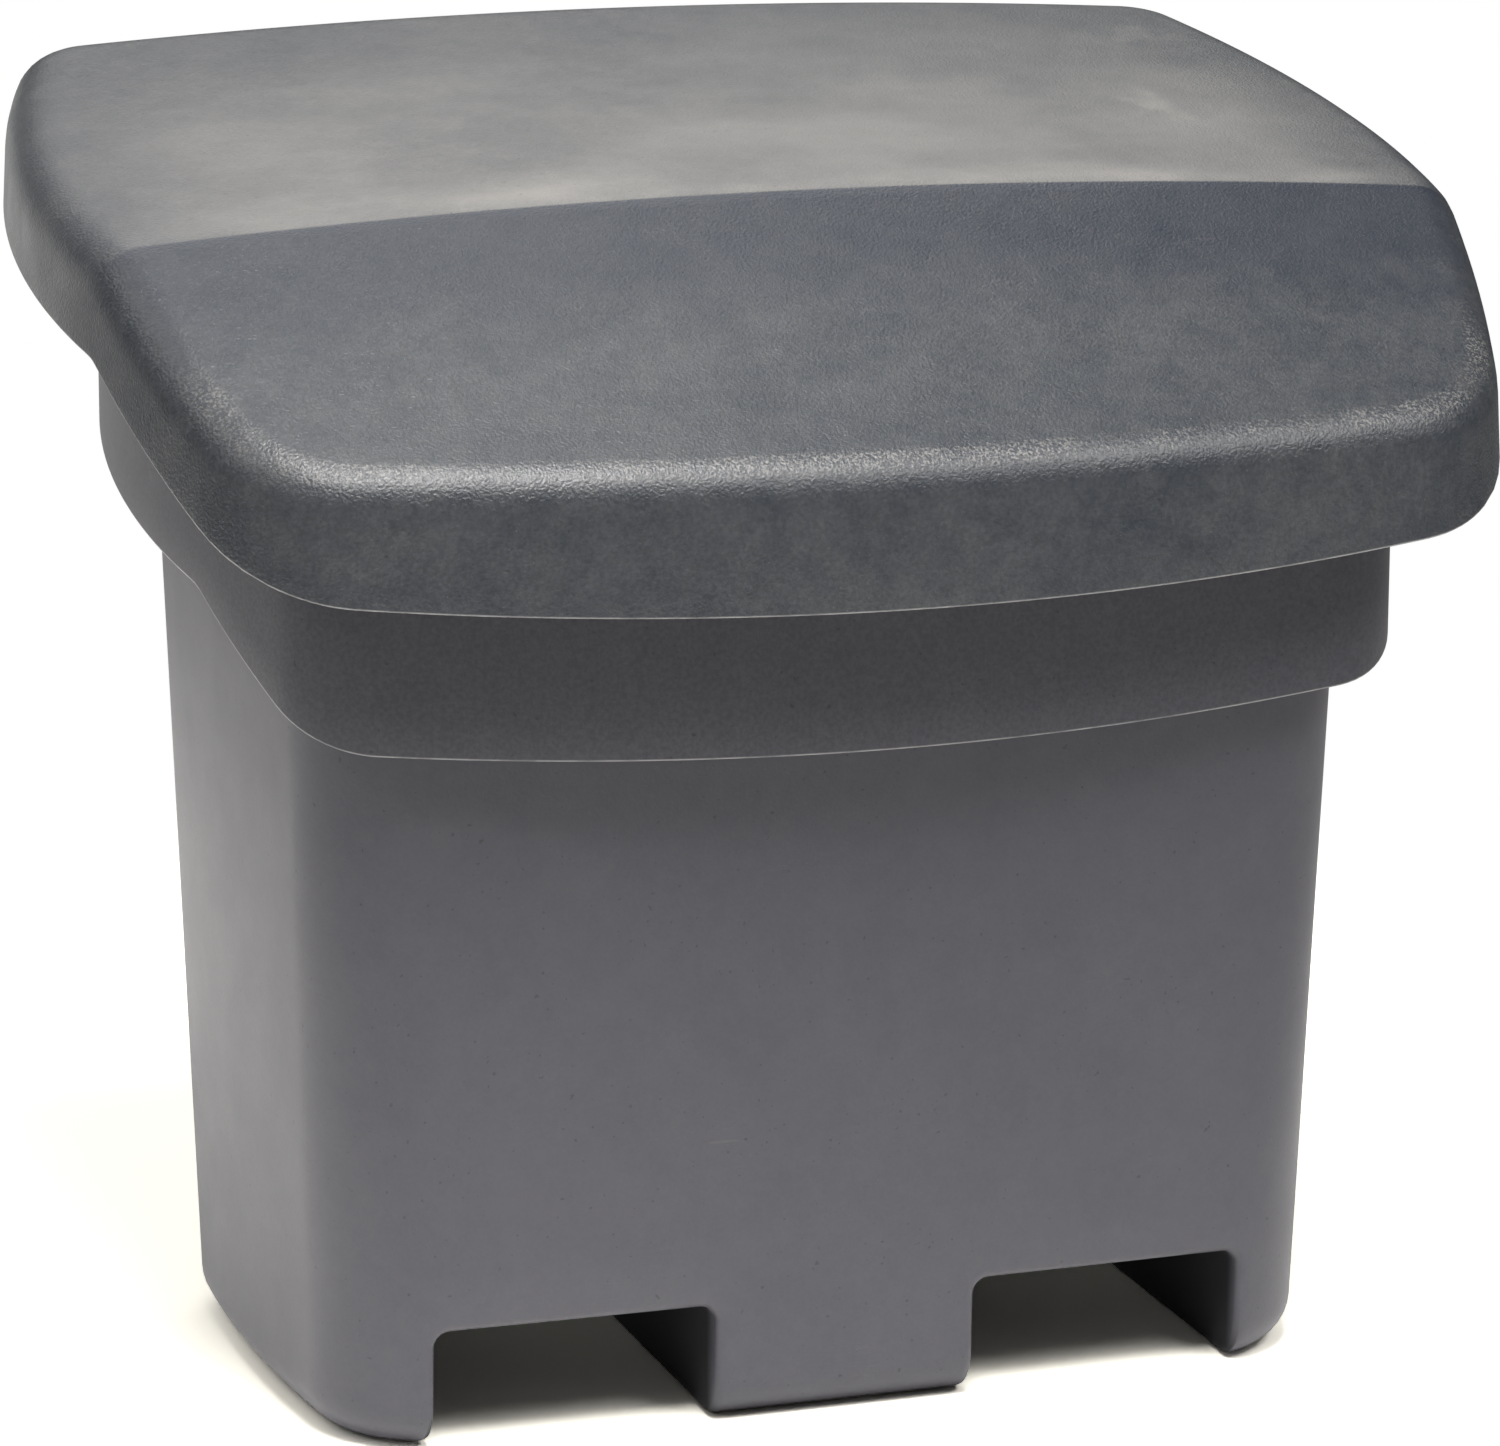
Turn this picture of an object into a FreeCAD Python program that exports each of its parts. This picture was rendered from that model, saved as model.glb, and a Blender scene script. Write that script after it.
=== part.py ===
import FreeCAD, Part
import math
import os

V = FreeCAD.Vector

# Grit salt bin: a moulded tub with two fork channels and a hanging collar, and a
# deep lid on two hinges that hide behind the collar, under the lid's overhang.
# X is the width, -Y is the front, Z is up. The origin is on the ground at the
# middle of the lid's plan. All sizes are in millimetres and degrees.

# Lid, seen from above
lid_width = 1100.0
lid_depth = 755.0
front_bow = 42.0
side_bow = 73.5
side_taper = 14.0
lid_front_corner = 121.0
lid_rear_corner = 62.0

# Lid, seen from the side
crease_from_front = 266.0
rim_height = 814.0
front_slope = 30.7
rear_slope = 10.25
crease_radius = 45.0
skirt_height = 78.0
skirt_draft = 3.0
lid_crown = 22.7
lid_edge_radius = 40.0
lid_wall = 6.0

# Collar that hangs round the top of the tub
collar_inset = 73.3
collar_drop = 170.4
collar_corner = 76.0
collar_edge_radius = 14.0
seat_gap = 1.0
tub_wall = 6.0

# Tub
tub_front_bow = 9.4
tub_side_bow = 43.5
tub_step = 49.4
tub_draft = 1.96
tub_corner = 95.0
base_edge_radius = 36.0

# Fork channels through the base, front to back
channel_inner = 103.0
channel_width = 216.8
channel_height = 94.0
channel_corner = 12.0

# Hinges
hinge_offset = 280.0
plate_thickness = 3.0
pivot_from_collar = 37.0
pivot_above_rim = 12.0
knuckle_radius = 10.0
pin_radius = 4.0
pin_head_radius = 7.0
pin_head_length = 3.0
pin_tail = 6.0
clip_radius = 8.0
clip_thickness = 1.2
clip_gap = 0.4
running_clearance = 0.05
bush_wall = 1.5
bush_flange_radius = 8.0
side_play = 0.2
leaf_ear_spacing = 41.0
ear_gap = 2.0
bracket_width = 80.0
bracket_height = 60.0
bracket_top_drop = 3.0
bracket_ear_root = 27.0
leaf_width = 88.0
leaf_height = 38.0
leaf_above_rim = 5.0
leaf_ear_root = 32.0

# Fasteners
bracket_bolt_radius = 4.0
bracket_bolt_spacing_x = 26.0
bracket_bolt_spacing_z = 28.0
bracket_bolt_edge = 16.0
lid_bolt_radius = 3.0
lid_bolt_spacing = 66.0
lid_bolt_rise = 20.0
bolt_clearance = 0.3
thread_clearance = 0.05
bolt_tail = 3.0
plate_corner = 6.0
washer_thickness = 1.6
washer_ratio = 2.0
flats_ratio = 1.6
nut_height_ratio = 1.6
head_ratio = 1.3
dome_ratio = 1.1
dome_width_ratio = 1.9
dome_rounding = 0.8

# Build allowances: how far cutting tools and raw blocks run past the model
beyond = 150.0


def slope(angle):
    """Rise per millimetre of a face that leans by an angle in degrees."""
    return math.tan(math.radians(angle))


lid_front = -lid_depth / 2
lid_rear = lid_depth / 2
crease_y = lid_front + crease_from_front
crest_height = rim_height + skirt_height + lid_crown
top_limit = crest_height + lid_depth * slope(rear_slope) + beyond
collar_level = rim_height - collar_drop
collar_rear = lid_rear - collar_inset
tub_base_inset = collar_inset + tub_step + collar_level * slope(tub_draft)
rear_rim_height = rim_height + (lid_rear - lid_wall - crease_y) * slope(rear_slope)
pivot = V(0, collar_rear + pivot_from_collar, rear_rim_height + pivot_above_rim)


def unit(vector):
    """Copy of a vector at length one."""
    copy = V(vector)
    copy.normalize()
    return copy


def mirrored(point):
    """The point on the other side of the middle plane."""
    return V(-point.x, point.y, point.z)


def arc(centre, start, end):
    """Arc of less than half a turn round a centre."""
    middle = centre + unit((start + end) * 0.5 - centre) * (start - centre).Length
    return Part.Arc(start, middle, end).toShape()


def line(start, end):
    """Straight edge between two points."""
    return Part.LineSegment(start, end).toShape()


def meet(centre_a, radius_a, centre_b, radius_b):
    """Both points where two circles at one height cross."""
    span = (centre_b - centre_a).Length
    along = (radius_a ** 2 - radius_b ** 2 + span ** 2) / (2 * span)
    across = math.sqrt(radius_a ** 2 - along ** 2)
    forward = unit(centre_b - centre_a)
    sideways = V(-forward.y, forward.x, 0)
    foot = centre_a + forward * along
    return foot + sideways * across, foot - sideways * across


def plan(inset, front_corner, rear_corner, height, rear_inset=None, bows=(front_bow, side_bow)):
    """Closed outline with a bowed front and sides and a straight rear.

    It lies `inset` inside the lid's rim, with its own corner radii and bows."""
    if rear_inset is None:
        rear_inset = inset
    front_rise, side_rise = bows
    front_y = lid_front + front_rise
    front_half = lid_width / 2 - side_rise - side_taper / 2
    rear_half = lid_width / 2 - side_rise + side_taper / 2
    front_radius = (front_half ** 2 + front_rise ** 2) / (2 * front_rise)
    front_centre = V(0, lid_front + front_radius, height)
    chord = V(rear_half - front_half, lid_rear - front_y, 0)
    side_radius = ((chord.Length / 2) ** 2 + side_rise ** 2) / (2 * side_rise)
    chord_middle = V((front_half + rear_half) / 2, (front_y + lid_rear) / 2, height)
    away = unit(V(chord.y, -chord.x, 0))
    side_centre = chord_middle + away * (side_rise - side_radius)
    front_radius -= inset
    side_radius -= inset
    rear_y = lid_rear - rear_inset

    corners = meet(front_centre, front_radius - front_corner, side_centre, side_radius - front_corner)
    front_fillet = min((p for p in corners if p.x > 0), key=lambda p: p.y)
    rise = rear_y - rear_corner - side_centre.y
    reach = math.sqrt((side_radius - rear_corner) ** 2 - rise ** 2)
    rear_fillet = V(side_centre.x + reach, rear_y - rear_corner, height)

    a = front_centre + unit(front_fillet - front_centre) * front_radius
    b = side_centre + unit(front_fillet - side_centre) * side_radius
    c = side_centre + unit(rear_fillet - side_centre) * side_radius
    d = V(rear_fillet.x, rear_y, height)
    right = [arc(front_fillet, a, b), arc(side_centre, b, c), arc(rear_fillet, c, d)]
    left = [
        arc(mirrored(rear_fillet), mirrored(d), mirrored(c)),
        arc(mirrored(side_centre), mirrored(c), mirrored(b)),
        arc(mirrored(front_fillet), mirrored(b), mirrored(a)),
    ]
    front = arc(front_centre, mirrored(a), a)
    return Part.Wire([front] + right + [line(d, mirrored(d))] + left)


def side_profile(height):
    """Two slopes joined by an arc over the crease, in the plane X = 0."""
    front_angle = math.radians(front_slope)
    rear_angle = math.radians(rear_slope)
    kink = V(0, crease_y, height)
    forward = V(0, -math.cos(front_angle), -math.sin(front_angle))
    backward = V(0, math.cos(rear_angle), math.sin(rear_angle))
    reach = lid_depth + beyond
    tangent = crease_radius * math.tan((front_angle - rear_angle) / 2)
    start = kink + forward * tangent
    end = kink + backward * tangent
    centre = start + V(0, math.sin(front_angle), -math.cos(front_angle)) * crease_radius
    first = kink + forward * reach
    last = kink + backward * reach
    return first, last, [line(first, start), arc(centre, start, end), line(end, last)]


def side_face(height, level):
    """Face between the side profile and a level line above or below it."""
    first, last, edges = side_profile(height)
    far = V(0, last.y, level)
    near = V(0, first.y, level)
    return Part.Face(Part.Wire(edges + [line(last, far), line(far, near), line(near, first)]))


def below_top(drop):
    """Everything below the lid's crowned top, lowered by `drop`."""
    height = crest_height - drop
    half_width = lid_width / 2
    crown_radius = (half_width ** 2 + lid_crown ** 2) / (2 * lid_crown)
    axis_point = V(0, 0, height - crown_radius)
    half_turn = math.degrees(math.asin((half_width + beyond) / crown_radius))
    face = side_face(height, -beyond)
    face.rotate(axis_point, V(0, 1, 0), -half_turn)
    return face.revolve(axis_point, V(0, 1, 0), 2 * half_turn)


def above_rim(drop):
    """Everything above the lid's bent rim, lowered by `drop`."""
    face = side_face(rim_height - drop, top_limit)
    width = lid_width + 2 * beyond
    face.translate(V(-width / 2, 0, 0))
    return face.extrude(V(width, 0, 0))


def only_solid(shape):
    """The shape's one solid, taken out of the compound that a cut leaves."""
    return shape.Solids[0] if len(shape.Solids) == 1 else shape


def rounded_top(shape, radius):
    """Round the edge all round the top faces of a solid."""
    tops = []
    for face in shape.Faces:
        u_low, u_high, v_low, v_high = face.ParameterRange
        if face.normalAt((u_low + u_high) / 2, (v_low + v_high) / 2).z > 0.5:
            tops.append(face)
    edges = [edge for face in tops for edge in face.Edges]
    rim = [edge for edge in edges if sum(1 for other in edges if other.isSame(edge)) == 1]
    return shape.makeFillet(radius, rim)


def domed_block(low_plan, high_plan, drop, edge_radius):
    """Block between two plans, cut off under the crowned top, with its edge rounded."""
    block = Part.makeLoft([low_plan, high_plan], True, True)
    block = only_solid(block.common(below_top(drop)))
    return rounded_top(block, edge_radius)


def lid_block(thickness, rim_drop):
    """The lid's outer form, or its hollow when given a thickness."""
    plans = []
    for height in (collar_level - beyond, top_limit):
        inset = thickness + (height - rim_height) * slope(skirt_draft)
        front_corner = lid_front_corner - thickness
        rear_corner = lid_rear_corner - thickness
        plans.append(plan(inset, front_corner, rear_corner, height, thickness))
    block = domed_block(plans[0], plans[1], thickness, lid_edge_radius - thickness)
    return only_solid(block.common(above_rim(rim_drop)))


def collar_block(thickness, rim_drop):
    """The collar's outer form, or its hollow when given a thickness."""
    plans = []
    for height in (0.0, top_limit):
        plans.append(plan(collar_inset + thickness, collar_corner - thickness,
                          collar_corner - thickness, height))
    drop = lid_wall + seat_gap + thickness
    block = domed_block(plans[0], plans[1], drop, collar_edge_radius - thickness)
    return only_solid(block.common(above_rim(rim_drop)))


def tub_block(thickness, top):
    """The tub's outer form up to a height, or its hollow when given a thickness."""
    plans = []
    for height in (thickness, top):
        inset = tub_base_inset + thickness - height * slope(tub_draft)
        plans.append(plan(inset, tub_corner - thickness, tub_corner - thickness, height,
                          bows=(tub_front_bow, tub_side_bow)))
    block = Part.makeLoft(plans, True, True)
    edges = [edge for edge in block.Edges if edge.BoundBox.ZMax < thickness + 1]
    return block.makeFillet(base_edge_radius - thickness, edges)


def channel(side, growth):
    """One fork channel as a block, or the hump over it when grown by the wall."""
    inner = channel_inner - growth
    width = channel_width + 2 * growth
    height = channel_height + growth
    corner = channel_corner + growth
    block = Part.makeBox(width, lid_depth, height + beyond, V(inner, -lid_depth / 2, -beyond))
    edges = [edge for edge in block.Edges
             if edge.BoundBox.ZMin > height - 1 and edge.BoundBox.YLength > 1]
    block = block.makeFillet(corner, edges)
    return block if side > 0 else block.mirror(V(0, 0, 0), V(1, 0, 0))


def across(radius, start, end):
    """Cylinder along X between two planes, on the hinge's axis."""
    return Part.makeCylinder(radius, end - start, V(start, pivot.y, pivot.z), V(1, 0, 0))


def outward(side, radius, start, end):
    """Cylinder on the hinge's axis, placed by distances outward from one hinge's middle."""
    ends = sorted((side * (hinge_offset + start), side * (hinge_offset + end)))
    return across(radius, ends[0], ends[1])


def through(radius, x, z, start_y, end_y):
    """Cylinder along Y between two planes."""
    return Part.makeCylinder(radius, end_y - start_y, V(x, start_y, z), V(0, 1, 0))


def hexagon(radius, x, z, start_y, end_y):
    """Hexagonal prism along Y between two planes, `radius` from its axis to its flats."""
    corner = radius / math.cos(math.pi / 6)
    points = [V(x + corner * math.cos(i * math.pi / 3), start_y, z + corner * math.sin(i * math.pi / 3))
              for i in range(7)]
    return Part.Face(Part.makePolygon(points)).extrude(V(0, end_y - start_y, 0))


def ear(x, root_y, root_low, root_high):
    """Plate from a flange to the hinge's axis, with a round end."""
    corners = [
        V(x, root_y, root_low),
        V(x, pivot.y, pivot.z - knuckle_radius),
        V(x, pivot.y, pivot.z + knuckle_radius),
        V(x, root_y, root_high),
        V(x, root_y, root_low),
    ]
    web = Part.Face(Part.makePolygon(corners)).extrude(V(plate_thickness, 0, 0))
    return web.fuse(across(knuckle_radius, x, x + plate_thickness)).removeSplitter()


def joined(shapes):
    """The shapes fused into one, with the seams in its flat faces removed."""
    whole = shapes[0].fuse(shapes[1:])
    return whole.removeSplitter()


# Tub: one moulding with its collar, walls, floor and the humps over the channels
tub_top = top_limit
collar_skin = collar_block(0.0, collar_drop).cut(collar_block(tub_wall, collar_drop + beyond))
tub_core = tub_block(0.0, tub_top).common(below_top(lid_wall + seat_gap))
tub_hollow = tub_block(tub_wall, tub_top)
for side in (-1, 1):
    tub_hollow = tub_hollow.cut(channel(side, tub_wall))
tub = collar_skin.fuse(tub_core).cut(tub_hollow)
for side in (-1, 1):
    tub = tub.cut(channel(side, 0.0))

# Lid: one moulding, a bent and crowned top with a skirt all round
lid = lid_block(0.0, 0.0).cut(lid_block(lid_wall, beyond))

# Hinge levels, shared by both hinges
skirt_inside = lid_rear - lid_wall
bracket_top = pivot.z - bracket_top_drop
bracket_low = bracket_top - bracket_height
leaf_low = rear_rim_height + leaf_above_rim
leaf_high = leaf_low + leaf_height
leaf_ear_outer = leaf_ear_spacing / 2 + plate_thickness
bracket_ear_inner = leaf_ear_outer + ear_gap
bracket_ear_outer = bracket_ear_inner + plate_thickness
bush_radius = pin_radius + running_clearance + bush_wall
bush_flange = ear_gap - side_play

# Places of the bolts, as X and Z
bracket_bolts_at = []
lid_bolts_at = []
for side in (-1, 1):
    for step in (-1, 1):
        lid_bolts_at.append((side * hinge_offset + step * lid_bolt_spacing / 2, leaf_low + lid_bolt_rise))
        for row in (0, 1):
            bracket_bolts_at.append((side * hinge_offset + step * bracket_bolt_spacing_x / 2,
                                     bracket_low + bracket_bolt_edge + row * bracket_bolt_spacing_z))


def drilled(shape, places, radius, start_y, end_y):
    """Cut one clearance hole along Y at each place."""
    for x, z in places:
        shape = shape.cut(through(radius + bolt_clearance, x, z, start_y, end_y))
    return shape


def plate(x, width, low, height, start_y):
    """Flat plate square to Y, with its corners rounded."""
    block = Part.makeBox(width, plate_thickness, height, V(x - width / 2, start_y, low))
    edges = [edge for edge in block.Edges if edge.BoundBox.YLength > plate_thickness / 2]
    return block.makeFillet(plate_corner, edges)


def washers(places, radius, start_y):
    """Flat rings whose front faces are at `start_y`, one at each place."""
    rings = []
    for x, z in places:
        disc = through(radius * washer_ratio, x, z, start_y, start_y + washer_thickness)
        rings.append(disc.cut(through(radius + bolt_clearance, x, z, start_y, start_y + washer_thickness)))
    return Part.makeCompound(rings)


def nuts(places, radius, start_y):
    """Hexagon nuts whose far face is at `start_y` minus their height."""
    shapes = []
    height = radius * nut_height_ratio
    for x, z in places:
        prism = hexagon(radius * flats_ratio, x, z, start_y - height, start_y)
        shapes.append(prism.cut(through(radius + thread_clearance, x, z, start_y - height, start_y)))
    return Part.makeCompound(shapes)


def hex_bolts(places, radius, seat_y, end_y):
    """Bolts with hexagon heads behind `seat_y`, whose shanks run forward to `end_y`."""
    shapes = []
    for x, z in places:
        head = hexagon(radius * flats_ratio, x, z, seat_y, seat_y + radius * head_ratio)
        shapes.append(head.fuse(through(radius, x, z, end_y, seat_y)))
    return Part.makeCompound(shapes)


def dome_bolts(places, radius, seat_y, end_y):
    """Bolts with domed heads behind `seat_y`, whose shanks run forward to `end_y`."""
    shapes = []
    height = radius * dome_ratio
    for x, z in places:
        head = through(radius * dome_width_ratio, x, z, seat_y, seat_y + height)
        rim = [edge for edge in head.Edges if edge.BoundBox.YMin > seat_y + height / 2]
        head = head.makeFillet(height * dome_rounding, rim)
        shapes.append(head.fuse(through(radius, x, z, end_y, seat_y)))
    return Part.makeCompound(shapes)


# Stacks of the two bolted joints, from the outside in
collar_inside = collar_rear - tub_wall
backing_front = collar_inside - plate_thickness
bracket_washer_front = backing_front - washer_thickness
bracket_nut_front = bracket_washer_front - bracket_bolt_radius * nut_height_ratio
leaf_front = skirt_inside - plate_thickness
lid_washer_front = leaf_front - washer_thickness
lid_nut_front = lid_washer_front - lid_bolt_radius * nut_height_ratio

nodes = {}
nodes["tub"] = drilled(tub, bracket_bolts_at, bracket_bolt_radius, collar_inside - plate_thickness,
                       collar_rear + plate_thickness)
nodes["lid"] = drilled(lid, lid_bolts_at, lid_bolt_radius, leaf_front, lid_rear + plate_thickness)

for side, name in ((-1, "left"), (1, "right")):
    x = side * hinge_offset

    # Bracket: a flange on the collar's rear face with two ears that carry the pin
    flange = plate(x, bracket_width, bracket_low, bracket_height, collar_rear)
    root = collar_rear + plate_thickness
    ears = [ear(x - bracket_ear_outer, root, bracket_top - bracket_ear_root, bracket_top),
            ear(x + bracket_ear_inner, root, bracket_top - bracket_ear_root, bracket_top)]
    bracket = joined([flange] + ears)
    pin_hole = across(pin_radius + running_clearance, x - bracket_width, x + bracket_width)
    bracket = drilled(bracket.cut(pin_hole), bracket_bolts_at, bracket_bolt_radius, collar_rear, root)
    nodes["hinge_bracket_" + name] = bracket

    # Leaf: a flange inside the lid's rear skirt with two ears between the bracket's
    flange = plate(x, leaf_width, leaf_low, leaf_height, leaf_front)
    ears = [ear(x - leaf_ear_outer, leaf_front, leaf_low, leaf_low + leaf_ear_root),
            ear(x + leaf_ear_spacing / 2, leaf_front, leaf_low, leaf_low + leaf_ear_root)]
    leaf = joined([flange] + ears)
    leaf = leaf.cut(across(bush_radius, x - leaf_width, x + leaf_width))
    nodes["hinge_leaf_" + name] = drilled(leaf, lid_bolts_at, lid_bolt_radius, leaf_front, skirt_inside)

    # Pin with its head at the outer end and a clip over its tail at the inner end
    head_face = bracket_ear_outer
    clip_face = -bracket_ear_outer - clip_gap
    tail = clip_face - clip_thickness - pin_tail
    head = outward(side, pin_head_radius, head_face, head_face + pin_head_length)
    shank = outward(side, pin_radius, tail, head_face)
    nodes["hinge_pin_" + name] = head.fuse(shank)
    clip = outward(side, clip_radius, clip_face - clip_thickness, clip_face)
    nodes["pin_clip_" + name] = clip.cut(outward(side, pin_radius, tail, head_face))

    # Flanged bushes in the leaf's ears, one at each side
    bushes = []
    for step in (-1, 1):
        inner = x + step * leaf_ear_spacing / 2
        outer = x + step * leaf_ear_outer
        edge = outer + step * bush_flange
        sleeve = across(bush_radius, min(inner, outer), max(inner, outer))
        flange = across(bush_flange_radius, min(outer, edge), max(outer, edge))
        bore = across(pin_radius + running_clearance, x - leaf_width, x + leaf_width)
        bushes.append(sleeve.fuse(flange).removeSplitter().cut(bore))
    nodes["hinge_bushes_" + name] = Part.makeCompound(bushes)

    # Backing plates that spread the bolts' load on the plastic
    backing = plate(x, bracket_width, bracket_low, bracket_height, backing_front)
    nodes["collar_backing_plate_" + name] = drilled(backing, bracket_bolts_at, bracket_bolt_radius,
                                                    backing_front, collar_inside)
    backing = plate(x, leaf_width, leaf_low, leaf_height, lid_rear)
    nodes["lid_backing_plate_" + name] = drilled(backing, lid_bolts_at, lid_bolt_radius,
                                                 lid_rear, lid_rear + plate_thickness)

nodes["bracket_bolts"] = hex_bolts(bracket_bolts_at, bracket_bolt_radius, collar_rear + plate_thickness,
                                   bracket_nut_front - bolt_tail)
nodes["bracket_washers"] = washers(bracket_bolts_at, bracket_bolt_radius, bracket_washer_front)
nodes["bracket_nuts"] = nuts(bracket_bolts_at, bracket_bolt_radius, bracket_washer_front)
nodes["lid_bolts"] = dome_bolts(lid_bolts_at, lid_bolt_radius, lid_rear + plate_thickness,
                                lid_nut_front - bolt_tail)
nodes["lid_washers"] = washers(lid_bolts_at, lid_bolt_radius, lid_washer_front)
nodes["lid_nuts"] = nuts(lid_bolts_at, lid_bolt_radius, lid_washer_front)

os.makedirs("parts", exist_ok=True)
for name, shape in nodes.items():
    shape.exportStep("parts/" + name + ".step")
    print(name, "solids", len(shape.Solids), "valid", shape.isValid(), "volume", round(shape.Volume))
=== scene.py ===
"""A moulded grit bin: a tub with fork channels and a hanging collar, under a deep hinged lid.

Sizes of the pieces and their finishes are millimetres, and a mesh is turned into metres once, when
its piece is finished. The studio and the camera are given in metres. X is the width, -Y the front
and Z is up, with the origin on the ground.
"""

import logging
import math
from dataclasses import dataclass, field
from enum import Enum
from functools import cached_property
from typing import Callable, ClassVar, Iterable

import bmesh
import bpy
import numpy as np
from bmesh.types import BMVert
from bpy.types import Material, NodeSocket, World
from mathutils import Matrix, Vector


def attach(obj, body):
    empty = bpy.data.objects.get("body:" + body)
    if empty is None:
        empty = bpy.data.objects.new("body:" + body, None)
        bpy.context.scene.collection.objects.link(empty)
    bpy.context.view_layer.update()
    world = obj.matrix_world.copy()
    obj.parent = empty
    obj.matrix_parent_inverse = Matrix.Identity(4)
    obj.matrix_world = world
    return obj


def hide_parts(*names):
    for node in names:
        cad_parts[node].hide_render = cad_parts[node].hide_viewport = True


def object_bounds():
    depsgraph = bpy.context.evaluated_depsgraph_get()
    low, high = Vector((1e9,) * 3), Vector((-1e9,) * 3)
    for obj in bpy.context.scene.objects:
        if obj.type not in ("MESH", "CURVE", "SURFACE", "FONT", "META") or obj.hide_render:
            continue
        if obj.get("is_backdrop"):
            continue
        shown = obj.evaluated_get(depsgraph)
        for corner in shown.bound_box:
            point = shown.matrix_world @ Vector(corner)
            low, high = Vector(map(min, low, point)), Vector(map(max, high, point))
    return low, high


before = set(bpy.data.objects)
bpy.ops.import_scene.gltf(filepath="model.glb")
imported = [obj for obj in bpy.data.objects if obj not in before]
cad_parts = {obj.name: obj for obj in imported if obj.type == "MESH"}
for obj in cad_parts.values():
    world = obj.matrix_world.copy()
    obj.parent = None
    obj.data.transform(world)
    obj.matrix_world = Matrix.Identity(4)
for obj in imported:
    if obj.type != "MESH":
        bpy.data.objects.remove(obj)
CAD_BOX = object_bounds()
METRES = 0.001
CRISP_ANGLE = math.radians(25.0)

log = logging.getLogger("grit_bin")

# A surface gives Z at X and Y, a row is points with their normals, an axis is a place with its
# direction, and a line is a row of a grid's vertices.
Array = np.ndarray
Surface = Callable[[Array, Array], Array]
Rings = list[Array]
Row = tuple[Array, Array]
Axis = tuple[Array, Array]
Line = list[BMVert]
Corners = tuple[BMVert, BMVert, BMVert, BMVert]
Profile = list[tuple]
Pair = tuple[float, float]
Pairs = tuple[Pair, ...]
Triple = tuple[float, float, float]
Colour = tuple[float, float, float, float]
WHITE: Colour = (1.0, 1.0, 1.0, 1.0)


class Body(Enum):
    """The two bodies that the hinge joins."""

    BIN = "bin_body"
    LID = "lid_body"


class Slot(Enum):
    """Names of material slots, which are passed along with the pieces."""

    TUB = "tub_plastic"
    LID = "lid_plastic"
    PLATE = "stainless_plate"
    FASTENER = "fastener_steel"
    NYLON = "nylon"


def slope(angle: float) -> float:
    """Rise per millimetre of a face that leans by an angle in degrees."""
    return math.tan(math.radians(angle))


def unit(vectors: Array) -> Array:
    """The vectors along the last axis at length one."""
    return vectors / np.linalg.norm(vectors, axis=-1, keepdims=True)


def link(name: str, data: bpy.types.ID) -> bpy.types.Object:
    """A new object in the scene.

    Args:
        name: its name.
        data: its mesh, light or camera.

    Returns:
        The object.
    """
    made = bpy.data.objects.new(name, data)
    bpy.context.scene.collection.objects.link(made)
    return made


def whole_loop(half: Array) -> Array:
    """A right half line and its mirror image as one loop that starts at the front's middle.

    Args:
        half: the right half's points.

    Returns:
        The loop.
    """
    mirror = half[-2:0:-1].copy()
    mirror[:, 0] *= -1.0
    return np.vstack([half, mirror])


def bend(start: Array, corner: Array, end: Array, steps: int) -> Rings:
    """Rings that round a corner between two tangent rings."""
    return [(1 - t) ** 2 * start + 2 * t * (1 - t) * corner + t ** 2 * end
            for t in np.linspace(0.0, 1.0, steps + 1)]


def between(start: Array, end: Array, steps: int) -> Rings:
    """Rings spaced evenly between two rings, without either of them."""
    return [start + (end - start) * t for t in np.linspace(0.0, 1.0, steps + 1)[1:-1]]


@dataclass(frozen=True)
class Curve:
    """Right half of a plan outline, as dense points with outward normals."""

    points: Array
    normals: Array
    along: Array
    marks: tuple[float, ...]

    def at(self, distances: Array) -> Row:
        """Points and normals at distances along the curve."""
        points, normals = (
            np.stack([np.interp(distances, self.along, values[:, axis]) for axis in (0, 1)], axis=1)
            for values in (self.points, self.normals))
        return points, unit(normals)

    def distance_at_x(self, x: Array, rear: bool) -> Array:
        """Distances at which the front or the rear stretch reaches each X.

        Args:
            x: where it is wanted.
            rear: whether the rear is meant.

        Returns:
            The distances.
        """
        widest = int(np.argmax(self.points[:, 0]))
        part = slice(None, widest - 1, -1) if rear else slice(widest + 1)
        return np.interp(x, self.points[part, 0], self.along[part])

    def y_at_x(self, x: Array, rear: bool) -> Array:
        """Y of the front or the rear stretch at each X."""
        return self.at(self.distance_at_x(x, rear))[0][:, 1]

    def distance_at_y(self, y: Array) -> Array:
        """Distances at which the side reaches each Y."""
        return np.interp(y, self.points[:, 1], self.along)


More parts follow.
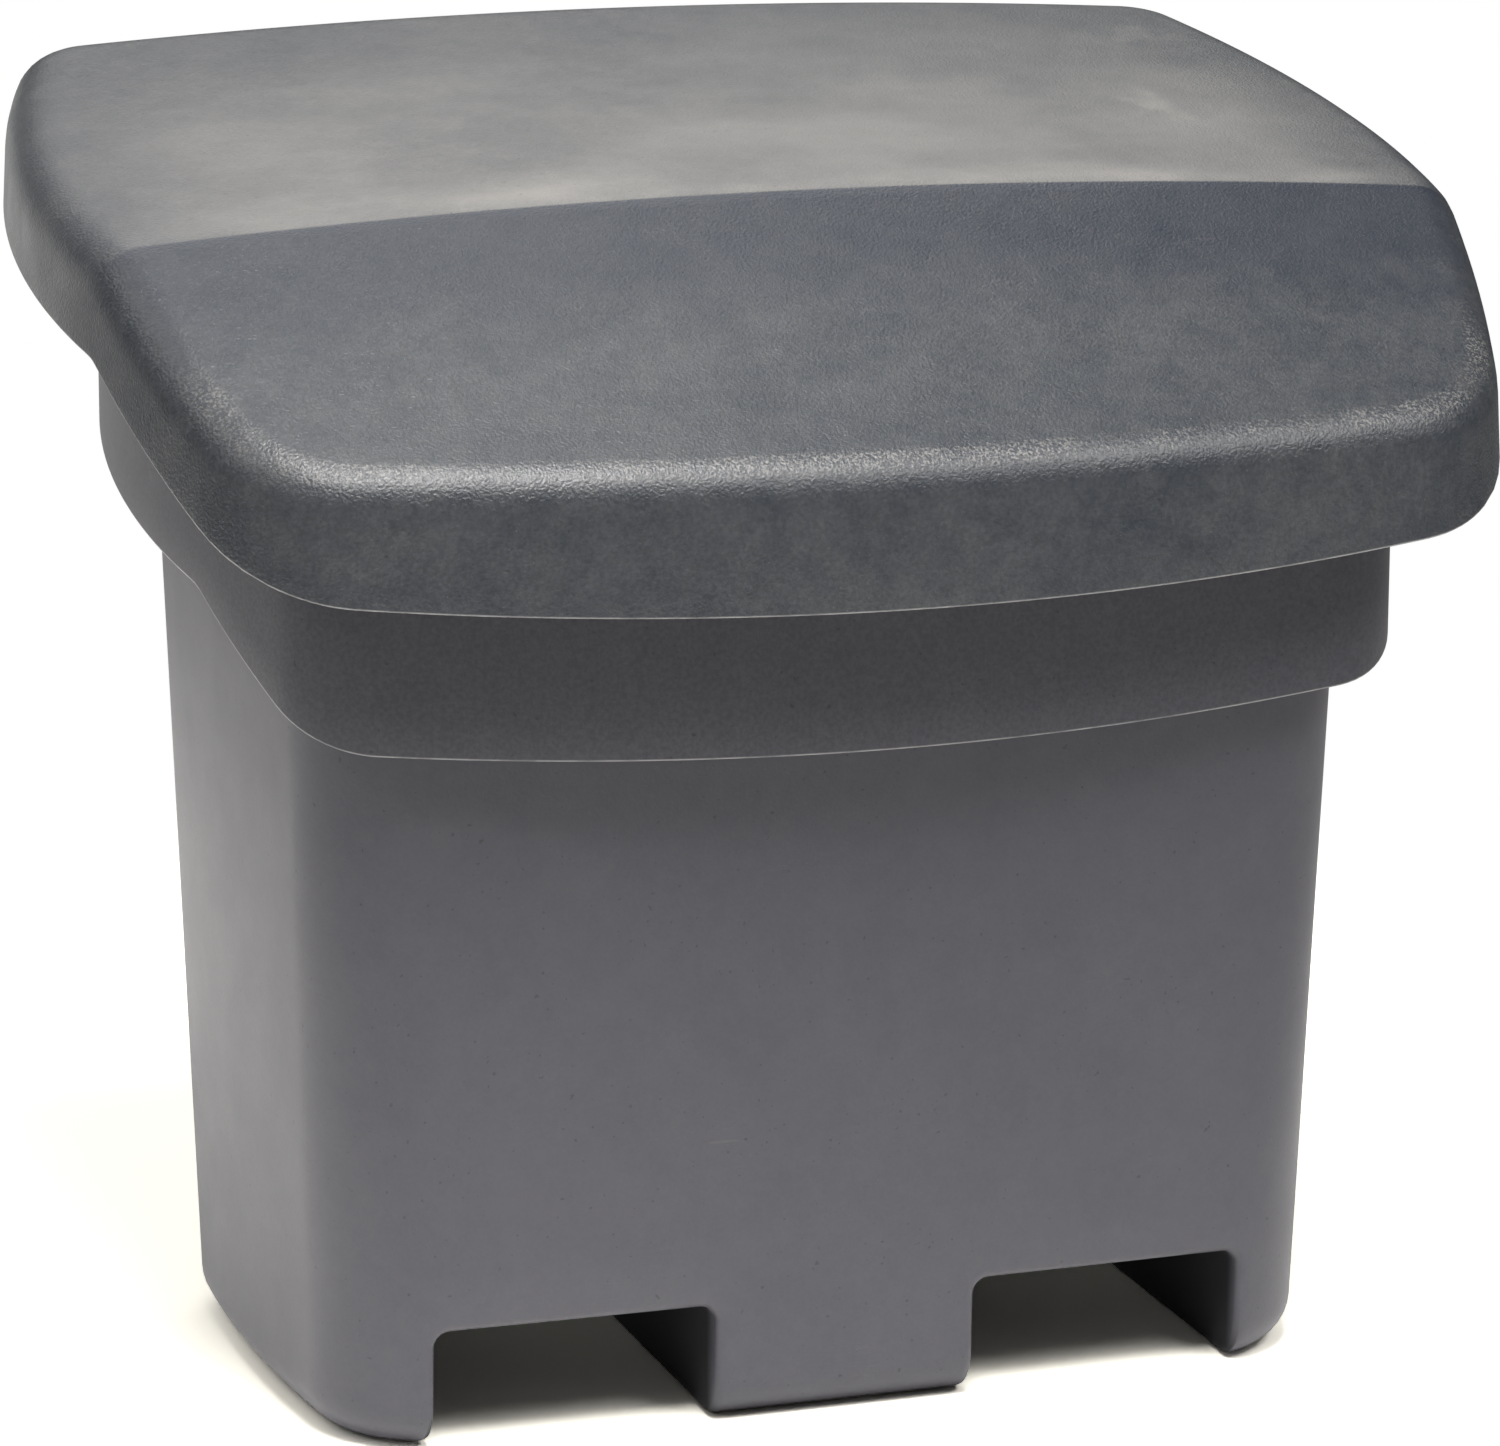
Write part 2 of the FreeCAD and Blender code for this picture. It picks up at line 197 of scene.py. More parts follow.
@dataclass(frozen=True)
class Outline:
    """Plan outline with a bowed front, bowed sides and a straight rear."""

    front_bow: float
    side_bow: float
    width: float = 1100.0
    depth: float = 755.0
    side_taper: float = 14.0
    step: float = 1.5

    def right_half(self, inset: float, front_corner: float, rear_corner: float,
                   rear_inset: float | None = None) -> Curve:
        """Right half of the outline from the front's middle to the rear's.

        Args:
            inset: how far inside the lid's rim it lies.
            front_corner: radius of the front corner.
            rear_corner: radius of the rear corner.
            rear_inset: the rear's own inset, where it differs.

        Returns:
            The half as one curve.
        """
        front_y = -self.depth / 2 + self.front_bow
        rear_edge = self.depth / 2
        front_half = self.width / 2 - self.side_bow - self.side_taper / 2
        rear_half = self.width / 2 - self.side_bow + self.side_taper / 2
        front_radius = (front_half ** 2 + self.front_bow ** 2) / (2 * self.front_bow)
        front_centre = np.array([0.0, -self.depth / 2 + front_radius])
        chord = np.array([rear_half - front_half, rear_edge - front_y])
        side_radius = ((np.linalg.norm(chord) / 2) ** 2 + self.side_bow ** 2) / (2 * self.side_bow)
        middle = np.array([(front_half + rear_half) / 2, (front_y + rear_edge) / 2])
        away = unit(np.array([chord[1], -chord[0]]))
        side_centre = middle + away * (self.side_bow - side_radius)
        front_radius -= inset
        side_radius -= inset
        rear_y = rear_edge - (inset if rear_inset is None else rear_inset)

        front_fillet = self.crossing(front_centre, front_radius - front_corner,
                                     side_centre, side_radius - front_corner)
        rise = rear_y - rear_corner - side_centre[1]
        reach = math.sqrt((side_radius - rear_corner) ** 2 - rise ** 2)
        rear_fillet = np.array([side_centre[0] + reach, rear_y - rear_corner])
        first = unit(front_fillet - front_centre)
        second = unit(front_fillet - side_centre)
        third = unit(rear_fillet - side_centre)
        down, up = np.array([0.0, -1.0]), np.array([0.0, 1.0])
        arcs = [
            self.arc(front_centre, front_radius, down, first),
            self.arc(front_fillet, front_corner, first, second),
            self.arc(side_centre, side_radius, second, third),
            self.arc(rear_fillet, rear_corner, third, up),
        ]
        count = math.ceil(rear_fillet[0] / self.step)
        back = np.stack([np.linspace(rear_fillet[0], 0.0, count), np.full(count, rear_y)], axis=1)
        arcs.append((back, np.tile(up, (count, 1))))
        points, normals = (np.vstack([arcs[0][part]] + [arc[part][1:] for arc in arcs[1:]])
                           for part in (0, 1))
        along = np.concatenate([[0.0], np.cumsum(np.linalg.norm(np.diff(points, axis=0), axis=1))])
        ends = np.cumsum([len(arc[0]) - 1 for arc in arcs])
        return Curve(points, normals, along, tuple(along[end] for end in ends))

    @staticmethod
    def crossing(centre_a: Array, radius_a: float, centre_b: Array,
                 radius_b: float) -> Array:
        """The front crossing, on the right, of two circles.

        Args:
            centre_a: the first circle's centre.
            radius_a: its radius.
            centre_b: the second circle's centre.
            radius_b: its radius.

        Returns:
            The place of the crossing.
        """
        span = np.linalg.norm(centre_b - centre_a)
        along = (radius_a ** 2 - radius_b ** 2 + span ** 2) / (2 * span)
        aside = math.sqrt(radius_a ** 2 - along ** 2)
        forward = (centre_b - centre_a) / span
        sideways = np.array([-forward[1], forward[0]])
        foot = centre_a + forward * along
        both = [foot + sideways * aside, foot - sideways * aside]
        return min((p for p in both if p[0] > 0), key=lambda p: p[1])

    def arc(self, centre: Array, radius: float, start: Array, end: Array) -> Row:
        """Points and normals on an arc that turns to the left from one direction to another.

        Args:
            centre: the arc's centre.
            radius: the radius.
            start: direction of its start.
            end: direction of its end.

        Returns:
            The points and normals.
        """
        low, high = (math.atan2(way[1], way[0]) for way in (start, end))
        while high < low:
            high += 2 * math.pi
        count = math.ceil(radius * (high - low) / self.step) + 2
        angles = np.linspace(low, high, count)
        normals = np.stack([np.cos(angles), np.sin(angles)], axis=1)
        return centre + radius * normals, normals


@dataclass(frozen=True)
class TopForm:
    """Bent and crowned top of the bin, and the bent rim that runs level with it."""

    width: float = 1100.0
    depth: float = 755.0
    crease_from_front: float = 266.0
    rim_height: float = 814.0
    front_slope: float = 30.7
    rear_slope: float = 10.25
    crease_radius: float = 45.0
    sharp_radius: float = 7.0
    sharp_from_side: float = 50.0
    sharp_blend: float = 70.0
    skirt_height: float = 78.0
    crown: float = 22.7

    @property
    def crease_y(self) -> float:
        """Y of the crease."""
        return self.crease_from_front - self.depth / 2

    def profile(self, y: Array, height: float, radius: Array | float) -> Array:
        """Height over the middle of the width of two slopes joined by an arc.

        Args:
            y: where the height is wanted.
            height: height of the slopes' crossing.
            radius: radius of the arc at each place.

        Returns:
            The heights.
        """
        front, rear = math.radians(self.front_slope), math.radians(self.rear_slope)
        reach = radius * math.tan((front - rear) / 2)
        start_y = self.crease_y - math.cos(front) * reach
        end_y = self.crease_y + math.cos(rear) * reach
        centre_y = start_y + math.sin(front) * radius
        centre_z = height - math.sin(front) * reach - math.cos(front) * radius
        offset = y - self.crease_y
        straight = height + offset * np.where(offset < 0, math.tan(front), math.tan(rear))
        rounded = centre_z + np.sqrt(np.maximum(radius ** 2 - (y - centre_y) ** 2, 0.0))
        return np.where((y > start_y) & (y < end_y), rounded, straight)

    def rim(self, drop: float = 0.0) -> Surface:
        """Surface of the bent rim, lowered by `drop`."""
        return lambda x, y: self.profile(y, self.rim_height - drop, self.crease_radius)

    def top(self, drop: float = 0.0, sharp: bool = False) -> Surface:
        """Crowned top, lowered by `drop`, with a sharp crease away from its sides if asked.

        Args:
            drop: how far it is lowered.
            sharp: whether its crease is sharp.

        Returns:
            The surface.
        """
        height = self.rim_height + self.skirt_height + self.crown - drop
        half = self.width / 2
        crown_radius = (half ** 2 + self.crown ** 2) / (2 * self.crown)

        def surface(x: Array, y: Array) -> Array:
            radius = self.crease_radius
            if sharp:
                t = np.clip((half - self.sharp_from_side - np.abs(x)) / self.sharp_blend, 0.0, 1.0)
                radius = radius + (self.sharp_radius - radius) * t * t * (3 - 2 * t)
            reach = self.profile(y, height, radius) - (height - crown_radius)
            return height - crown_radius + np.sqrt(reach ** 2 - x ** 2)

        return surface


@dataclass(frozen=True)
class Wall:
    """Straight-ruled wall: where each station of a loop stands at any height."""

    foot: Array
    lean: Array
    normals: Array
    meeting_rounds: int = 12

    @classmethod
    def spanning(cls, heights: Pair, row_at: Callable[[float], Row]) -> "Wall":
        """Wall through the rows of points and normals at two heights.

        Args:
            heights: the two heights.
            row_at: gives the row at a height.

        Returns:
            The wall.
        """
        (low, high), (low_row, high_row) = heights, map(row_at, heights)
        lean = (high_row[0] - low_row[0]) / (high - low)
        return cls(low_row[0] - lean * low, lean, high_row[1])

    def at(self, heights: Array | float) -> Array:
        """Ring of the stations at their heights."""
        heights = np.broadcast_to(heights, (len(self.foot),))
        return np.column_stack([self.foot + self.lean * heights[:, None], heights])

    def meet(self, surface: Surface) -> Array:
        """Ring in which the wall crosses a surface.

        Args:
            surface: the surface.

        Returns:
            The ring.
        """
        ring = self.at(0.0)
        for _ in range(self.meeting_rounds):
            ring = self.at(surface(ring[:, 0], ring[:, 1]))
        return ring

    def facing(self) -> Array:
        """Outward normals of the leaning wall in space."""
        return unit(np.column_stack([self.normals, -(self.lean * self.normals).sum(axis=1)]))


@dataclass(frozen=True)
class RolledEdge:
    """Rounding that a ball leaves where it rolls inside a wall and under a top."""

    centres: Array
    wall_normals: Array
    top_normals: Array
    searched: ClassVar[Pair] = (300.0, 1300.0)
    halvings: ClassVar[int] = 36
    foot_rounds: ClassVar[int] = 6
    small_step: ClassVar[float] = 0.05

    @classmethod
    def rolled(cls, wall: Wall, top: Surface, radius: float) -> "RolledEdge":
        """Find where a ball that touches the wall also touches the top.

        Args:
            wall: the wall.
            top: the top.
            radius: the ball's radius.

        Returns:
            The rounding.
        """
        facing = wall.facing()
        low, high = (np.full(len(facing), level) for level in cls.searched)
        for _ in range(cls.halvings):
            level = (low + high) / 2
            centres = wall.at(level) - radius * facing
            gap, normals = cls.distance(centres, top)
            low = np.where(gap > radius, level, low)
            high = np.where(gap > radius, high, level)
        return cls(centres, facing, normals)

    @classmethod
    def distance(cls, centres: Array, top: Surface) -> Row:
        """Distance from each centre up to the top, and the top's normal there.

        Args:
            centres: the ball's centres.
            top: the top.

        Returns:
            The distances and the normals.
        """
        step, foot = cls.small_step, centres
        for _ in range(cls.foot_rounds):
            x, y = foot[:, 0], foot[:, 1]
            rise_x = (top(x + step, y) - top(x - step, y)) / (2 * step)
            rise_y = (top(x, y + step) - top(x, y - step)) / (2 * step)
            normals = unit(np.column_stack([-rise_x, -rise_y, np.ones(len(x))]))
            gap = ((np.column_stack([x, y, top(x, y)]) - centres) * normals).sum(axis=1)
            foot = centres + normals * gap[:, None]
        return gap, normals

    def rings(self, radius: float, steps: int) -> Rings:
        """Rings from the wall to the top, at a radius round the ball's centres.

        Args:
            radius: distance from the ball's centres.
            steps: number of steps.

        Returns:
            The rings.
        """
        dots = (self.wall_normals * self.top_normals).sum(axis=1)
        turn = np.arccos(np.clip(dots, -1.0, 1.0))[:, None]
        rings = []
        for t in np.linspace(0.0, 1.0, steps + 1):
            way = np.sin((1 - t) * turn) * self.wall_normals + np.sin(t * turn) * self.top_normals
            rings.append(self.centres + radius * way / np.sin(turn))
        return rings


def lip(outer: Wall, inner: Wall, surface: Surface, radius: float, steps: int) -> Rings:
    """Rings round the lower edge between two walls, from the outer to the inner.

    Args:
        outer: the outer wall.
        inner: the inner wall.
        surface: the surface that cuts both off.
        radius: how far the rounding reaches from each corner.
        steps: steps in each rounding.

    Returns:
        The rings.
    """
    outer_edge, inner_edge = outer.meet(surface), inner.meet(surface)
    across = unit(inner_edge - outer_edge) * radius
    rings = bend(outer.at(outer_edge[:, 2] + radius), outer_edge, outer_edge + across, steps)
    return rings + bend(inner_edge - across, inner_edge, inner.at(inner_edge[:, 2] + radius), steps)


class Moulding:
    """A mesh in millimetres that grows from welded grids."""

    def __init__(self) -> None:
        """Start with an empty mesh, and a layer for edges that get a painted highlight."""
        self.mesh = bmesh.new()
        self.lip_highlight = self.mesh.verts.layers.float.new("lip_highlight")

    def grid(self, places: Array) -> list[Line]:
        """Add a grid with its vertices at the given places, and return them row by row.

        Args:
            places: the places, by row and column.

        Returns:
            The vertices, row by row.
        """
        rows, columns = places.shape[:2]
        made = bmesh.ops.create_grid(self.mesh, x_segments=columns - 1,
                                     y_segments=rows - 1)["verts"]
        for vertex, place in zip(made, places.reshape(-1, 3)):
            vertex.co = place
        return [made[row * columns:(row + 1) * columns] for row in range(rows)]

    def tube(self, rings: Rings, lip_highlight: Iterable[Array] = ()) -> list[Line]:
        """Add a tube through closed rings, some of them with a painted highlight, and return it
        ring by ring.

        Args:
            rings: the rings.
            lip_highlight: those of them that get a painted highlight.

        Returns:
            The vertices, ring by ring.
        """
        rows = self.grid(np.stack([np.vstack([ring, ring[:1]]) for ring in rings]))
        self.weld([row[-1] for row in rows], [row[0] for row in rows])
        for ring, row in zip(rings, rows):
            if any(ring is pale for pale in lip_highlight):
                for vertex in row[:-1]:
                    vertex[self.lip_highlight] = 1.0
        return [row[:-1] for row in rows]

    def weld(self, moved: Line, kept: Line) -> None:
        """Merge vertices into the ones that stay, pair by pair."""
        bmesh.ops.weld_verts(self.mesh, targetmap=dict(zip(moved, kept)))

    def cut_faces(self, corners: list[Corners]) -> None:
        """Delete the faces that have the given corners."""
        faces = [self.mesh.faces.get(four) for four in corners]
        bmesh.ops.delete(self.mesh, geom=faces, context="FACES")

    def cap(self) -> None:
        """Close each open loop with a flat face."""
        rims = [edge for edge in self.mesh.edges if edge.is_boundary]
        bmesh.ops.edgeloop_fill(self.mesh, edges=rims)

    def finish(self, name: str, body: Body, slot: Slot, material: Material,
               crisp: bool = False) -> None:
        """Turn the mesh into a smooth piece in metres that rides on a body.

        Args:
            name: the piece's name, which is also the name of the frame's node that it replaces.
            body: the body that it rides on.
            slot: not used.
            material: its material.
            crisp: whether its edges are machined and show as lines.
        """
        mesh = self.mesh
        bmesh.ops.recalc_face_normals(mesh, faces=mesh.faces)
        bmesh.ops.scale(mesh, vec=Vector((METRES, METRES, METRES)), verts=mesh.verts)
        for face in mesh.faces:
            face.smooth = True
        loose = sum(1 for edge in mesh.edges if not edge.is_manifold)
        data = bpy.data.meshes.new(name)
        mesh.to_mesh(data)
        mesh.free()
        if crisp:
            data.set_sharp_from_angle(angle=CRISP_ANGLE)
        piece = link(name, data)
        data.materials.append(material)
        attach(piece, body.value)
        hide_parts(name)
        log.info("%s: %d faces, %d open edges", name, len(data.polygons), loose)


@dataclass
class Lid:
    """One moulding: a bent and crowned top with a skirt all round."""

    form: TopForm
    outline: Outline
    front_corner: float = 121.0
    rear_corner: float = 62.0
    edge_radius: float = 40.0
    wall: float = 6.0
    draft: float = 3.0
    lip_radius: float = 2.4
    ruled: Pair = (300.0, 1200.0)
    half_columns: int = 60
    front_rows: int = 14
    rear_rows: int = 50
    shoulder_steps: int = 10
    inner_steps: int = 7
    lip_steps: int = 4
    skirt_rows: int = 6
    inner_rows: int = 5
    crease_rounds: int = 4
    crease_rows: tuple[float, ...] = (-24.0, -9.0, -3.5, -1.5, 0.0, 1.5, 3.5, 9.0, 24.0)
    crease_station: float = field(init=False)

    def __post_init__(self) -> None:
        """Find the station of the sides whose rounding ends on the crease."""
        self.crease_station = self.form.crease_y
        for _ in range(self.crease_rounds):
            edge = RolledEdge.rolled(self.skin(0.0), self.form.top(), self.edge_radius)
            reached = edge.rings(self.edge_radius, 1)[-1][self.crease_index, 1]
            self.crease_station += self.form.crease_y - reached

    @property
    def crease_row(self) -> int:
        """Row of the top's grid that lies on the crease."""
        return self.front_rows + self.crease_rows.index(0.0)

    @property
    def crease_index(self) -> int:
        """Station on the right side that meets the crease."""
        return self.half_columns + self.crease_row

    @property
    def side_rows(self) -> int:
        """Steps along each side."""
        return self.front_rows + len(self.crease_rows) - 1 + self.rear_rows

    def stations(self, curve: Curve) -> Row:
        """Points and normals at the lid's stations, as a whole loop.

        Args:
            curve: the outline.

        Returns:
            The points and normals.
        """
        front_end = (curve.marks[0] + curve.marks[1]) / 2
        rear_start = (curve.marks[2] + curve.marks[3]) / 2
        ends = curve.at(np.array([front_end, rear_start]))[0][:, 1]
        crease = self.crease_station + np.array(self.crease_rows)
        sides = np.concatenate([
            np.linspace(ends[0], crease[0], self.front_rows + 1)[1:],
            crease[1:],
            np.linspace(crease[-1], ends[1], self.rear_rows + 1)[1:-1],
        ])
        distances = np.concatenate([
            np.linspace(0.0, front_end, self.half_columns + 1),
            curve.distance_at_y(sides),
            np.linspace(rear_start, curve.marks[4], self.half_columns + 1),
        ])
        points, normals = curve.at(distances)
        return whole_loop(points), whole_loop(normals)

    def skin(self, thickness: float) -> Wall:
        """The skirt's wall at a depth inside its outer face.

        Args:
            thickness: depth inside the outer face.

        Returns:
            The wall.
        """
        def row_at(height: float) -> Row:
            """The stations at a height, where the drafted skirt narrows upwards."""
            inset = thickness + (height - self.form.rim_height) * slope(self.draft)
            return self.stations(self.outline.right_half(
                inset, self.front_corner - thickness, self.rear_corner - thickness, thickness))

        return Wall.spanning(self.ruled, row_at)

    def top_places(self, ring: Array, top: Surface) -> Array:
        """Places of the top's grid inside its boundary ring.

        Args:
            ring: the boundary ring.
            top: the top.

        Returns:
            The places, by row and column.
        """
        half, rows, crease = self.half_columns, self.side_rows, self.crease_row
        count = len(ring)
        front = ring[[(i - half) % count for i in range(2 * half + 1)]]
        rear = ring[[count // 2 - (i - half) for i in range(2 * half + 1)]]
        right = ring[[half + j for j in range(rows + 1)]]
        left = ring[[count - half - j for j in range(rows + 1)]]
        left[0], right[0] = front[0], front[-1]
        share = (front[:, :1] - front[0, 0]) / (front[-1, 0] - front[0, 0])
        fold = left[crease] + (right[crease] - left[crease]) * share
        places = np.zeros((rows + 1, 2 * half + 1, 3))
        for first, last, near, far in ((0, crease, front, fold), (crease, rows, fold, rear)):
            depths = right[first:last + 1, 1] - right[first, 1]
            for j, v in zip(range(first, last + 1), depths / depths[-1]):
                across = (1 - share) * left[j] + share * right[j]
                down = (1 - v) * near + v * far
                corners = (1 - v) * ((1 - share) * near[0] + share * near[-1])
                corners = corners + v * ((1 - share) * far[0] + share * far[-1])
                places[j] = across + down - corners
        places[..., 2] = top(places[..., 0], places[..., 1])
        places[0], places[-1], places[:, 0], places[:, -1] = front, rear, left, right
        return places

    def rim_stations(self, rows: list[Line]) -> Line:
        """Boundary vertices of a top's grid in the order of the stations.

        Args:
            rows: the vertices, row by row.

        Returns:
            The vertices.
        """
        half = self.half_columns
        right = [row[-1] for row in rows[1:-1]]
        left = [row[0] for row in rows[-2:0:-1]]
        return rows[0][half:] + right + rows[-1][::-1] + left + rows[0][:half]

    def make(self, material: Material) -> None:
        """Build the lid and dress it.

        Args:
            material: the material that it takes.
        """
        outer, inner = self.skin(0.0), self.skin(self.wall)
        sharp, hollow = self.form.top(sharp=True), self.form.top(self.wall, sharp=True)
        edge = RolledEdge.rolled(outer, self.form.top(), self.edge_radius)
        inner_radius = self.edge_radius - self.wall
        inner_edge = RolledEdge.rolled(inner, self.form.top(self.wall), inner_radius)
        shoulder = edge.rings(self.edge_radius, self.shoulder_steps)
        inner_shoulder = inner_edge.rings(inner_radius, self.inner_steps)
        rim = lip(outer, inner, self.form.rim(), self.lip_radius, self.lip_steps)
        rings = shoulder[::-1] + between(shoulder[0], rim[0], self.skirt_rows) + rim
        rings += between(rim[-1], inner_shoulder[0], self.inner_rows) + inner_shoulder
        moulding = Moulding()
        # The rim's rounded lip rings get a painted highlight.
        tube = moulding.tube(rings, rim[1:4])
        for ring, row, surface in ((rings[0], tube[0], sharp), (rings[-1], tube[-1], hollow)):
            sheet = moulding.grid(self.top_places(ring, surface))
            moulding.weld(self.rim_stations(sheet), row)
        moulding.finish("lid", Body.LID, Slot.LID, material)


class Skin(Enum):
    """The tub's two faces, by their depth in millimetres."""

    OUTER = 0.0
    INNER = 6.0


@dataclass
class Tub:
    """One moulding: walls, collar, floor and the humps over its fork channels."""

    form: TopForm
    collar_outline: Outline
    outline: Outline
    wall: float = 6.0
    collar_inset: float = 73.3
    collar_drop: float = 170.4
    collar_corner: float = 76.0
    collar_edge: float = 14.0
    seat_drop: float = 7.0
    step: float = 49.4
    draft: float = 1.96
    corner: float = 95.0
    base_edge: float = 36.0
    channel_inner: float = 103.0
    channel_width: float = 216.8
    channel_height: float = 94.0
    channel_corner: float = 12.0
    mouth_radius: float = 8.0
    lip_radius: float = 2.4
    rim_rounding: float = 5.0
    foot_columns: int = 12
    arc_steps: int = 6
    roof_columns: int = 22
    side_columns: int = 100
    upper_rows: int = 20
    foot_rows: int = 4
    base_rows: tuple[float, ...] = (12.5, 18.0, 24.0, 30.0)
    leg_rows: int = 6
    collar_rows: int = 8
    crest_rows: int = 4
    hollow_rows: int = 3
    inner_rows: int = 5
    flare_rows: int = 4
    tunnel_rows: int = 8
    shoulder_steps: int = 8
    inner_steps: int = 5
    lip_steps: int = 4
    mouth_steps: int = 5
    junction_edge: float = 2.0
    ruled_to: float = 1000.0
    level_slack: float = 1e-6

    @property
    def channel_outer(self) -> float:
        """X of a channel's outer side."""
        return self.channel_inner + self.channel_width

    @property
    def pinned(self) -> Array:
        """X of the columns on the front and rear, from the middle to a channel's outer edge.

        Returns:
            The values of X.
        """
        rounded = self.channel_corner + self.mouth_radius
        start, end = self.channel_inner - self.mouth_radius, self.channel_outer + self.mouth_radius
        half = self.arc_steps // 2
        return np.concatenate([
            np.linspace(0.0, start, self.foot_columns + 1),
            np.linspace(start, start + rounded, half + 1)[1:],
            np.linspace(start + rounded, end - rounded, self.roof_columns + 1)[1:],
            np.linspace(end - rounded, end, half + 1)[1:],
        ])

    @property
    def half_count(self) -> int:
        """Columns from the front's middle to the rear's."""
        return 2 * (len(self.pinned) - 1) + self.side_columns

    def stations(self, curve: Curve) -> Row:
        """Points and normals at the tub's columns, as a whole loop.

        Args:
            curve: the outline.

        Returns:
            The points and normals.
        """
        front = curve.distance_at_x(self.pinned, rear=False)
        rear = curve.distance_at_x(self.pinned[::-1], rear=True)
        side = np.linspace(front[-1], rear[0], self.side_columns + 1)[1:-1]
        points, normals = curve.at(np.concatenate([front, side, rear]))
        points[0, 0] = points[-1, 0] = 0.0
        return whole_loop(points), whole_loop(normals)

    def curve(self, height: float, skin: Skin) -> Curve:
        """The wall's outline at a height, with the base's rounding.

        Args:
            height: the height.
            skin: the skin that is meant.

        Returns:
            The outline.
        """
        lean = slope(self.draft)
        base = self.collar_inset + self.step + (self.form.rim_height - self.collar_drop) * lean
        radius = self.base_edge - skin.value
        rise = max(self.base_edge - height, 0.0)
        tuck = radius - math.sqrt(max(radius ** 2 - rise ** 2, 0.0))
        corner = self.corner - skin.value - tuck
        return self.outline.right_half(base - height * lean + skin.value + tuck, corner, corner)

    def heights(self, skin: Skin) -> Array:
        """Heights of the lower rows, from the base to just over the channels.

        Args:
            skin: the skin that is meant.

        Returns:
            The heights.
        """
        reach = self.mouth_radius - skin.value
        turns = np.linspace(math.pi / 2, 0.0, self.foot_rows + 1)
        shoulder = self.channel_height - self.channel_corner
        top = self.channel_height + self.mouth_radius
        return np.concatenate([
            self.mouth_radius - reach * np.sin(turns),
            self.base_rows,
            np.linspace(self.base_edge, shoulder, self.leg_rows + 1),
            np.linspace(shoulder, top, self.arc_steps // 2 + 1)[1:],
        ])

    def lower_rows(self, skin: Skin) -> Rings:
        """Rings of the lower rows of one skin, from the base up."""
        rows = [(self.stations(self.curve(level, skin))[0], level) for level in self.heights(skin)]
        return [np.column_stack([points, np.full(len(points), level)]) for points, level in rows]

    def upper_wall(self, skin: Skin) -> Wall:
        """The wall of one skin over the channels."""
        heights = self.channel_height + self.mouth_radius, self.ruled_to
        return Wall.spanning(heights, lambda height: self.stations(self.curve(height, skin)))

    def collar_wall(self, thickness: float) -> Wall:
        """The collar's upright wall at a depth inside its outer face.

        Args:
            thickness: depth inside the outer face.

        Returns:
            The wall.
        """
        corner = self.collar_corner - thickness
        curve = self.collar_outline.right_half(self.collar_inset + thickness, corner, corner)
        points, normals = self.stations(curve)
        return Wall(points, np.zeros_like(points), normals)

    @staticmethod
    def laid(rings: Rings, top: Surface) -> Rings:
        """The rings, laid on a surface.

        Args:
            rings: the rings.
            top: the surface.

        Returns:
            The rings.
        """
        for ring in rings:
            ring[:, 2] = top(ring[:, 0], ring[:, 1])
        return rings

    def rings(self) -> tuple[Rings, Rings]:
        """All rings, up the outside, round the collar and down the inside, and those with a painted
        highlight.

        Returns:
            The rings, and those of them that get a painted highlight.
        """
        outer, inner = self.upper_wall(Skin.OUTER), self.upper_wall(Skin.INNER)
        crest, underside = self.form.top(self.seat_drop), self.form.top(self.seat_drop + self.wall)
        collar, collar_inside = self.collar_wall(0.0), self.collar_wall(self.wall)
        edge = RolledEdge.rolled(collar, crest, self.collar_edge)
        shoulder = edge.rings(self.collar_edge, self.shoulder_steps)
        inner_shoulder = edge.rings(self.collar_edge - self.wall, self.inner_steps)[::-1]
        low_outer, low_inner = self.lower_rows(Skin.OUTER), self.lower_rows(Skin.INNER)
        junction = outer.meet(underside)
        outward = np.column_stack([outer.normals, np.zeros(len(junction))])
        below = outer.at(junction[:, 2] - self.junction_edge)
        aside = self.laid([junction + outward * self.junction_edge], underside)[0]
        hem_line = self.form.rim(self.collar_drop)
        hem = lip(collar, collar_inside, hem_line, self.lip_radius, self.lip_steps)[::-1]
        edge_ring = inner.meet(crest)
        onto = self.laid([edge_ring + outward * self.rim_rounding], crest)[0]
        inside = inner.at(edge_ring[:, 2] - self.rim_rounding)
        mouth = bend(onto, edge_ring, inside, self.mouth_steps)
        rings = low_outer + between(low_outer[-1], below, self.upper_rows)
        rings += [below, junction, aside]
        rings += self.laid(between(aside, inner_shoulder[0], self.hollow_rows), underside)
        rings += inner_shoulder + between(inner_shoulder[-1], hem[0], self.inner_rows) + hem
        rings += between(hem[-1], shoulder[0], self.collar_rows) + shoulder
        rings += self.laid(between(shoulder[-1], onto, self.crest_rows), crest) + mouth
        rings += between(mouth[-1], low_inner[-1], self.upper_rows) + low_inner[::-1]
        # The hem's rounded lip rings get a painted highlight.
        return rings, hem[-4:-1]

